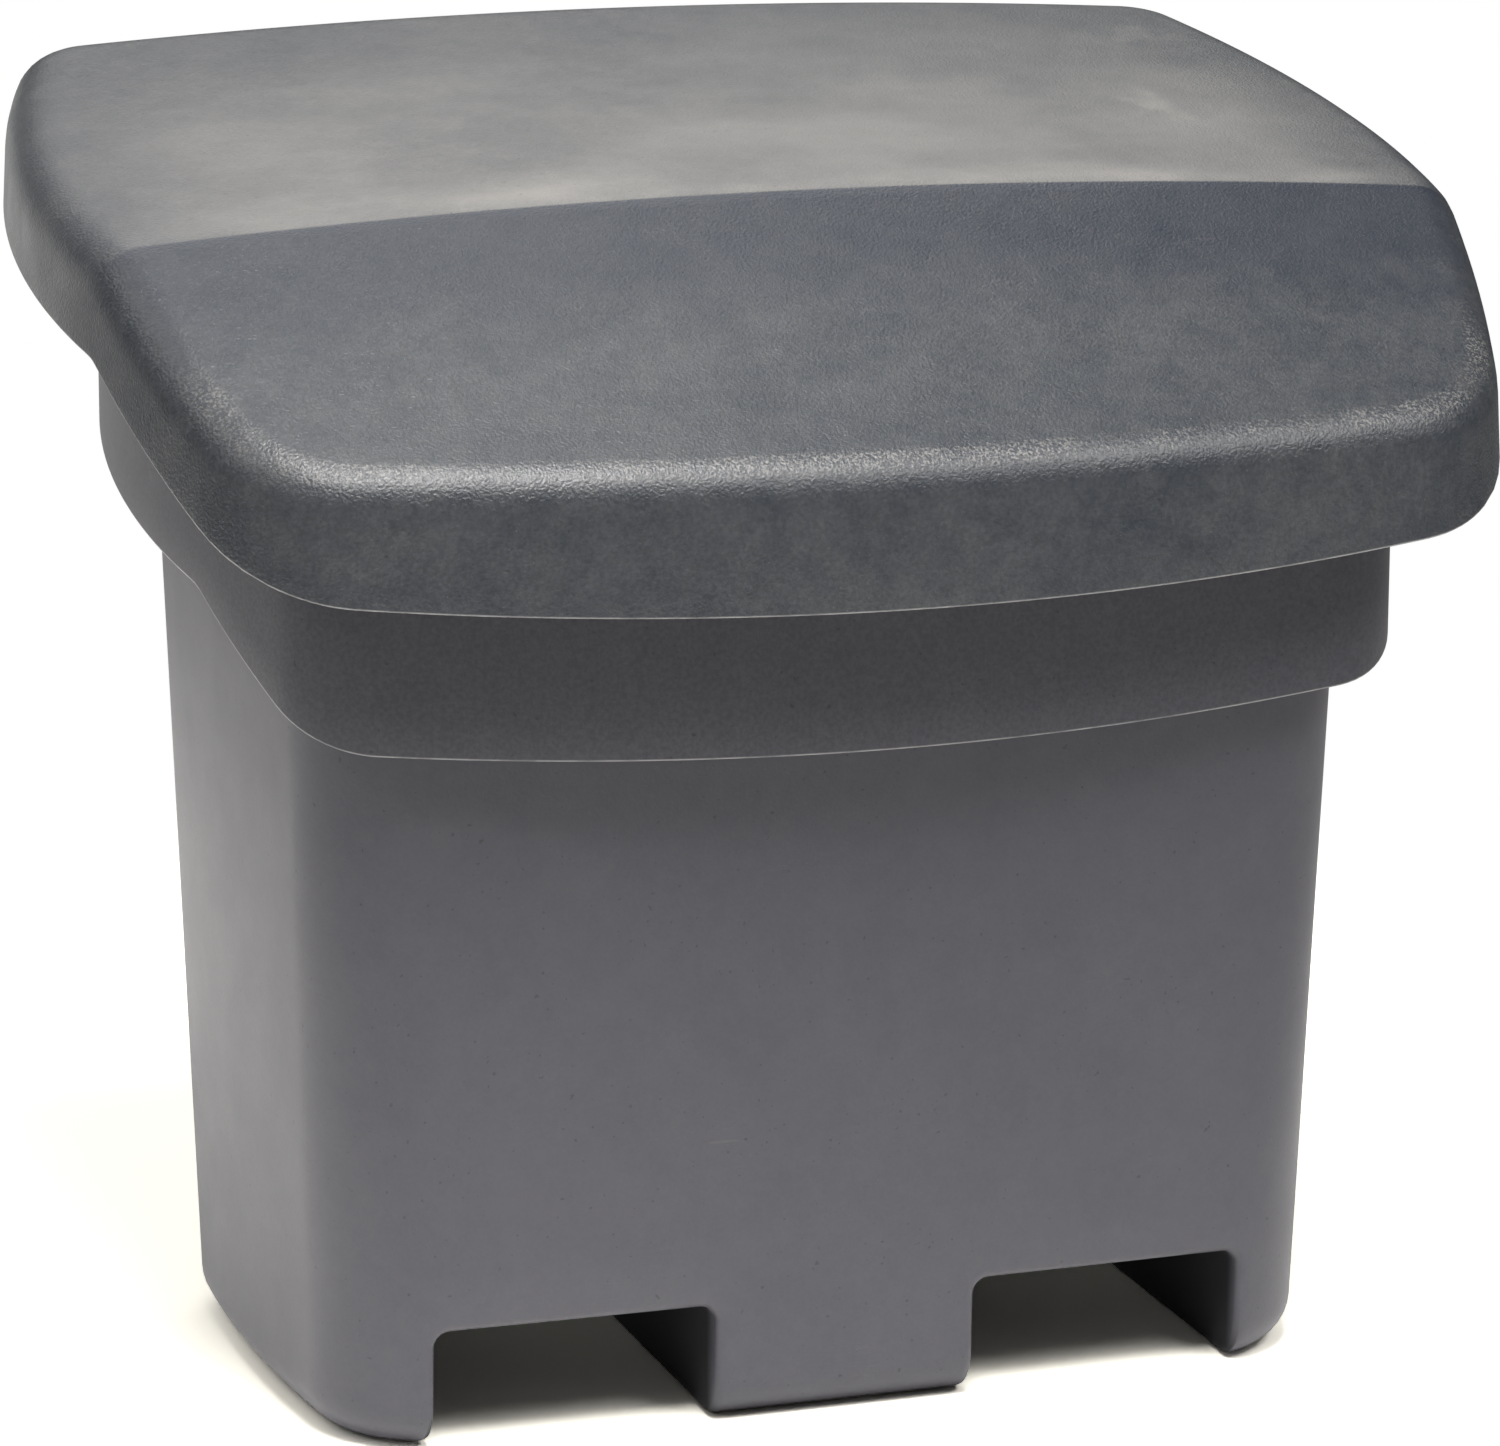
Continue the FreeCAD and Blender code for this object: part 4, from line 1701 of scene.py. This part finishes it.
        # Painted highlight: the lips' rounded edges turn pale in patches, standing in for the light
        # they catch.
        lips = graph.out("ShaderNodeAttribute", output="Fac", attribute_name="lip_highlight")
        colour = graph.mix(lips * graph.patches(self.lip_highlight_patches), colour, self.lip_highlight_colour)
        roughness = graph.patches(self.sheen) + self.roughness + dust_and_sheen * self.dust_and_sheen_roughness
        normal = graph.bump(graph.noise(self.pebble_size, 2.0, 0.55), self.pebble_height)
        normal = graph.bump(graph.noise(self.grain_size, 2.0, 0.6), self.grain_height, normal)
        normal = graph.bump(scratch, self.scratch_depth, normal)
        # Painted shade, where the piece has it, as inside the tub's fork channels.
        colour, roughness = self.with_painted_shade(graph, colour, roughness)
        return graph.finish({"Base Color": colour, "Roughness": roughness, "Normal": normal,
                             "IOR": 1.5, "Specular IOR Level": self.shine})


@dataclass(frozen=True)
class LidPlastic(MouldedPlastic):
    """The lid's plastic, with painted shade before the fold, dust and a painted sheen behind it,
    and speckled on the front's ridge.

    The bands before and behind the fold are measured from it, to the rear.
    """

    name: str = "lid plastic"
    base: Colour = (0.028, 0.0335, 0.043, 1.0)
    pale: Colour = (0.064, 0.067, 0.072, 1.0)
    # Colour of the painted shade before the fold.
    fold_shade_colour: Colour = (0.02, 0.025, 0.038, 1.0)
    dust_and_sheen_amount: float = 0.55
    speckle_share: float = 0.45
    roughness: float = 0.36
    sheen: Patches = Patches(60.0, 3.0, 0.5, 0.3, 0.7, -0.04, 0.04)
    shine: float = 0.66
    pebble_size: float = 2.3
    pebble_height: float = 0.75
    fold_y: float = 0.0
    # Painted shade before the fold: a broad band that darkens towards it and a darker thin line
    # just before it, on faces that look up.
    fold_shade_band: Band = Band(-140.0, -55.0)
    fold_shade_line: Band = Band(-12.0, -4.0, 0.55, 0.8)
    fold_shade_end: Band = Band(-1.0, 1.0, 1.0, 0.0)
    fold_shade_up: Pair = (0.5, 0.84)
    ragged_size: float = 70.0
    ragged_reach: float = 0.12
    # The pale share rises from the rear towards the fold.
    paler_to_fold: Band = Band(489.0, 90.0, 0.12, 0.72)
    # Painted sheen: a pale band just behind the fold.
    painted_sheen_band: Band = Band(75.0, 8.0, 0.0, 0.42)
    dust_and_sheen_start: Band = Band(-0.5, 2.0)
    dust_and_sheen_sides: Band = Band(380.0, 530.0, 1.0, 0.25)
    smears: Patches = Patches(95.0, 4.0, 0.65, 0.55, 0.72, 0.0, 0.5)
    smear_side: Band = Band(50.0, 400.0)
    ridge_up: Pairs = ((0.4, 0.64), (0.86, 0.8))
    ridge_front: Band = Band(-200.0, -280.0)
    ridge_specks: Patches = Patches(2.2, 2.0, 0.6, 0.5, 0.6)
    ridge_gaps: Patches = Patches(60.0, 3.0, 0.5, 0.35, 0.6, 0.15, 0.5)

    def mottled(self, graph: Graph) -> Signal:
        """The mottled colour with painted shade in a band before the fold, darkest in a thin line
        next to it.

        Args:
            graph: the material's nodes.

        Returns:
            The colour.
        """
        colour = super().mottled(graph)
        y = graph.axis("Y")
        ragged = (graph.noise(self.ragged_size, 4.0, 0.6) - 0.5) * self.ragged_reach
        share = (y + ragged).across(self.fold_shade_band, self.fold_y)
        share = share * y.across(self.fold_shade_line, self.fold_y) * y.across(self.fold_shade_end, self.fold_y)
        return graph.mix(share * graph.up.fade(*self.fold_shade_up), colour, self.fold_shade_colour)

    def dust_and_sheen_share(self, graph: Graph) -> Signal:
        """Share of dust behind the fold, with a band of painted sheen just behind it, paler towards
        the fold and smeared on the right.

        Args:
            graph: the material's nodes.

        Returns:
            The share.
        """
        x, y = graph.axis("X"), graph.axis("Y")
        spread, sheen_band_share, start = (y.across(band, self.fold_y)
                               for band in (self.paler_to_fold, self.painted_sheen_band, self.dust_and_sheen_start))
        near = spread + graph.patches(self.smears) * x.across(self.smear_side)
        share = super().dust_and_sheen_share(graph) * (near + sheen_band_share)
        return share * start * abs(x).across(self.dust_and_sheen_sides)

    def specked(self, graph: Graph, colour: Signal) -> Signal:
        """The colour with pale specks where the lid's front edge rolls over.

        Args:
            graph: the material's nodes.
            colour: the colour before.

        Returns:
            The colour.
        """
        rising, falling = (graph.up.fade(*levels) for levels in self.ridge_up)
        share = rising * falling * graph.axis("Y").across(self.ridge_front)
        share = share * graph.patches(self.ridge_specks) * graph.patches(self.ridge_gaps)
        return graph.mix(share, colour, self.dust_and_sheen)


@dataclass(frozen=True)
class TubPlastic(MouldedPlastic):
    """The tub's plastic, with a stippled collar, and painted shade on the collar and inside the
    fork channels.

    The collar's lower edge follows two slopes, and collar_y and collar_z are where they meet.
    """

    name: str = "tub plastic"
    base: Colour = (0.083, 0.0825, 0.101, 1.0)
    pale: Colour = (0.099, 0.0975, 0.113, 1.0)
    dust_and_sheen_amount: float = 0.08
    speckle_share: float = 0.06
    fleck_share: float = 0.08
    collar_y: float = 0.0
    collar_z: float = 640.6
    collar_slopes: Pair = (0.594, 0.181)
    collar_speckles: Band = Band(-6.0, 4.0, 1.0, 4.0)
    # Painted shade: under the lid's overhang the collar is darkened to 0.8 above its lower edge.
    collar_shade: Band = Band(-6.0, 4.0, 1.0, 0.8)
    # Painted shade inside the fork channels: below their roof and within their sides the colour
    # goes almost black and rougher.
    tunnel_top: Band = Band(98.0, 102.0, 0.97, 0.0)
    tunnel_sides: tuple[tuple[str, Band], ...] = (
        ("Y", Band(208.0, 232.0, 1.0, 0.0)), ("X", Band(323.0, 325.0, 1.0, 0.0)))
    channel_shade_roughness: float = 0.56

    def shading(self, graph: Graph) -> tuple[Signal | float, Signal | float]:
        """Share of speckles, and a painted shade that darkens the collar under the lid, both
        changing over the collar's lower edge.

        Args:
            graph: the material's nodes.

        Returns:
            The share and the painted shade.
        """
        back = graph.axis("Y") - self.collar_y * METRES
        edge = graph.math("MINIMUM", *(back * rise for rise in self.collar_slopes))
        above = graph.axis("Z") - edge
        speckles, shade = (above.across(band, self.collar_z)
                           for band in (self.collar_speckles, self.collar_shade))
        return speckles * self.speckle_share, shade

    def with_painted_shade(self, graph: Graph, colour: Signal, roughness: Signal) -> tuple[Signal, Signal]:
        """Colour and roughness with painted shade inside the fork channels.

        Args:
            graph: the material's nodes.
            colour: the colour before.
            roughness: the roughness before.

        Returns:
            The colour and the roughness.
        """
        share = graph.axis("Z").across(self.tunnel_top)
        for axis, band in self.tunnel_sides:
            share = share * abs(graph.axis(axis)).across(band)
        return graph.mix(share, colour, self.pit_and_channel_shade), roughness + share * self.channel_shade_roughness


@dataclass(frozen=True)
class BrushedSteel:
    """Stainless sheet with a fine brushed grain along X, faint stains and handling marks."""

    name: str = "brushed stainless"
    base: Colour = (0.50, 0.50, 0.49, 1.0)
    stained: Colour = (0.40, 0.395, 0.38, 1.0)
    brushing: Triple = (0.015, 1.0, 1.0)
    brushed_levels: Pair = (0.3, 0.7)
    brushed_stain: float = 0.12
    brushed_roughness: Pair = (0.26, 0.44)
    stain_roughness: float = 0.2
    stains: Patches = Patches(14.0, 4.0, 0.65, 0.45, 0.75, 0.0, 0.6)
    marks: Patches = Patches(2.6, 1.0, 0.4, 0.72, 0.76, stretch=(1.0, 1.0, 0.08))
    grain_depth: float = 0.012
    mark_depth: float = -0.01

    def make(self) -> Material:
        """Build the material.

        Returns:
            The material.
        """
        graph = Graph(bpy.data.materials.new(self.name))
        grain = graph.noise(0.4, 3.0, 0.6, self.brushing)
        stain = graph.patches(self.stains)
        colour = graph.mix(stain, self.base, self.stained)
        share = grain.fade(*self.brushed_levels, 0.0, self.brushed_stain)
        colour = graph.mix(share, colour, self.stained)
        brushed = grain.fade(*self.brushed_levels, *self.brushed_roughness)
        normal = graph.bump(grain, self.grain_depth)
        normal = graph.bump(graph.patches(self.marks), self.mark_depth, normal)
        return graph.finish({"Base Color": colour, "Metallic": 1.0,
                             "Roughness": brushed + stain * self.stain_roughness,
                             "Normal": normal})


@dataclass(frozen=True)
class PlatedSteel:
    """Zinc-plated steel of the pins, bolts and nuts, dulled in patches."""

    name: str = "plated steel"
    bright: Colour = (0.62, 0.62, 0.60, 1.0)
    dull: Colour = (0.40, 0.39, 0.37, 1.0)
    roughness: Pair = (0.3, 0.5)
    dulling: Patches = Patches(3.0, 4.0, 0.65, 0.35, 0.7)
    bloom: Patches = Patches(0.9, 3.0, 0.6, 0.55, 0.7, 0.0, 0.35)
    grain_depth: float = 0.012

    def make(self) -> Material:
        """Build the material.

        Returns:
            The material.
        """
        graph = Graph(bpy.data.materials.new(self.name))
        dulled = graph.patches(self.dulling)
        share = graph.math("MAXIMUM", dulled, graph.patches(self.bloom))
        return graph.finish({
            "Base Color": graph.mix(share, self.bright, self.dull), "Metallic": 1.0,
            "Roughness": dulled.fade(0.0, 1.0, *self.roughness),
            "Normal": graph.bump(graph.noise(0.5, 3.0, 0.6), self.grain_depth)})


@dataclass(frozen=True)
class Nylon:
    """Natural nylon of the bushes, with grease marks near the pin."""

    name: str = "nylon"
    base: Colour = (0.62, 0.60, 0.54, 1.0)
    greased: Colour = (0.30, 0.28, 0.24, 1.0)
    smears: Patches = Patches(2.5, 3.0, 0.6, 0.5, 0.75, 0.0, 0.7)
    roughness: Pair = (0.5, 0.28)
    grain_depth: float = 0.015
    depth_of_light: float = 0.15

    def make(self) -> Material:
        """Build the material.

        Returns:
            The material.
        """
        graph = Graph(bpy.data.materials.new(self.name))
        smear = graph.patches(self.smears)
        return graph.finish({
            "Base Color": graph.mix(smear, self.base, self.greased),
            "Roughness": smear.fade(0.0, self.smears.high, *self.roughness),
            "Normal": graph.bump(graph.noise(0.6, 2.0, 0.5), self.grain_depth),
            "Subsurface Weight": self.depth_of_light})


@dataclass(frozen=True)
class Softbox:
    """One soft light that the camera doesn't see."""

    name: str
    place: Triple
    aim: Triple
    size: Pair
    power: float
    tint: Triple = (1.0, 1.0, 1.0)

    def hang(self) -> None:
        """Add the light to the scene."""
        light = bpy.data.lights.new(self.name, "AREA")
        light.shape = "RECTANGLE"
        light.size, light.size_y = self.size
        light.energy = self.power
        light.color = self.tint
        lamp = link(self.name, light)
        lamp.location = self.place
        way = Vector(self.aim) - Vector(self.place)
        lamp.rotation_euler = way.to_track_quat("-Z", "Y").to_euler()
        lamp.visible_camera = False


@dataclass(frozen=True)
class Studio:
    """White floor and soft lights, the main one above the front."""

    floor_half: float = 12.0
    floor_colour: Colour = (0.88, 0.87, 0.85, 1.0)
    seen_colour: Colour = (2.26, 2.2, 2.0, 1.0)
    # Painted pool of light on the floor that only reflections see: bright near mirror_place, dim
    # beyond.
    mirrored_near: Colour = (2.3, 2.27, 2.2, 1.0)
    mirrored_far: Colour = (0.7, 0.69, 0.68, 1.0)
    mirror_place: Triple = (-0.5, 0.7, 0.0)
    mirror_reach: Pair = (0.8, 2.3)
    sweep_reach: Pair = (1.0, 1.9)
    room: float = 0.07
    lights: tuple[Softbox, ...] = (
        Softbox("key", (-0.3, -1.35, 3.25), (0.0, -0.3, 0.6), (1.1, 1.5), 106.0,
                (1.0, 0.985, 0.965)),
        Softbox("fill", (1.4, -1.95, 2.8), (0.1, -0.25, 0.5), (1.8, 0.9), 40.0, (1.0, 0.985, 0.97)),
        Softbox("sky", (0.0, 1.8, 3.8), (0.0, 1.2, 0.0), (3.0, 2.4), 30.0),
        Softbox("backdrop", (0.0, 3.3, 3.4), (0.0, 0.0, 0.9), (5.0, 2.2), 32.0, (1.0, 0.99, 0.97)),
        Softbox("side", (-2.3, 0.4, 3.1), (-0.2, 0.0, 0.7), (1.8, 1.6), 16.0, (1.0, 0.985, 0.96)),
        Softbox("left", (-2.3, -1.2, 2.3), (-0.3, 0.0, 0.7), (1.2, 1.2), 9.0, (1.0, 0.985, 0.96)),
        Softbox("wall", (-1.6, 3.4, 0.7), (-0.4, 0.0, 0.8), (2.6, 1.2), 9.0, (1.0, 0.99, 0.97)),
    )

    def floor(self) -> None:
        """Lay the floor, which the camera sees as white paper in full light, and reflections see
        with a painted pool of light near mirror_place that dims farther off.
        """
        sheet = bmesh.new()
        bmesh.ops.create_grid(sheet, x_segments=1, y_segments=1, size=self.floor_half)
        data = bpy.data.meshes.new("floor")
        sheet.to_mesh(data)
        sheet.free()
        floor = link("floor", data)
        graph = Graph(bpy.data.materials.new("floor"))
        glossy, seen = (graph.out("ShaderNodeLightPath", output=f"Is {kind} Ray")
                        for kind in ("Glossy", "Camera"))
        reach = graph.out("ShaderNodeVectorMath", {0: graph.at, 1: self.mirror_place}, "Value",
                          operation="DISTANCE")
        centre = graph.out("ShaderNodeVectorMath", {0: graph.at}, "Value", operation="LENGTH")
        # Painted light for reflections: the floor is much brighter near mirror_place and dimmer
        # beyond.
        mirrored = graph.mix(reach.fade(*self.mirror_reach), self.mirrored_near, self.mirrored_far)
        colour = graph.mix(glossy, self.floor_colour, mirrored)
        paper = graph.out("ShaderNodeBsdfDiffuse",
                          {"Color": graph.mix(seen, colour, self.seen_colour)})
        sweep = graph.out("ShaderNodeEmission", {"Strength": 1.0})
        away = centre.fade(*self.sweep_reach) * seen
        paper = graph.out("ShaderNodeMixShader", {0: away, 1: paper, 2: sweep})
        graph.out("ShaderNodeOutputMaterial", {"Surface": paper})
        data.materials.append(graph.owner)
        floor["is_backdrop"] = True

    def world(self) -> None:
        """White for the camera, and a dim room for everything else."""
        scene = bpy.context.scene
        scene.world = scene.world or bpy.data.worlds.new("room")
        graph = Graph(scene.world)
        seen = graph.out("ShaderNodeLightPath", output="Is Camera Ray")
        dim, white = (graph.out("ShaderNodeBackground", {"Strength": strength, "Color": WHITE})
                      for strength in (self.room, 1.0))
        blend = graph.out("ShaderNodeMixShader", {0: seen, 1: dim, 2: white})
        graph.out("ShaderNodeOutputWorld", {"Surface": blend})

    def build(self) -> None:
        """Set up the floor, the lights and the room."""
        self.floor()
        self.world()
        for light in self.lights:
            light.hang()


def main() -> None:
    """Build the classes in order, light them and place the camera."""
    logging.basicConfig(level=logging.INFO, format="%(message)s")
    form, sizes = TopForm(), HingeSizes()
    lid_outline = Outline(front_bow=42.0, side_bow=73.5)
    tub_outline = Outline(front_bow=9.4, side_bow=43.5)
    Lid(form, lid_outline).make(LidPlastic(fold_y=form.crease_y).make())
    Tub(form, lid_outline, tub_outline).make(TubPlastic(collar_y=form.crease_y).make())
    steel, plated, nylon = BrushedSteel().make(), PlatedSteel().make(), Nylon().make()
    for side in (-1, 1):
        Hinge(side, sizes).build(steel, plated, nylon)
    bracket_axes = sizes.bolt_axes(sizes.bracket_bolt_x, sizes.bracket_low,
                                   sizes.bracket_bolt_rises)
    lid_axes = sizes.bolt_axes(sizes.leaf_bolt_x, sizes.leaf_low, sizes.leaf_bolt_rises)
    Fasteners("bracket", Body.BIN, bracket_axes, radius=4.0, pitch=1.25, domed=False,
              seat=sizes.collar_rear + sizes.plate,
              backing=sizes.collar_inside - sizes.plate).build(plated)
    Fasteners("lid", Body.LID, lid_axes, radius=3.0, pitch=1.0, domed=True,
              seat=sizes.lid_rear + sizes.plate,
              backing=sizes.skirt_inside - sizes.plate).build(plated)
    Studio().build()
    View().place()
    bpy.context.scene.view_settings.view_transform = "Standard"
    boxes = {"cad": CAD_BOX, "model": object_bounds()}
    {name: [list(corner) for corner in box] for name, box in boxes.items()}


if __name__ == "__main__":
    main()
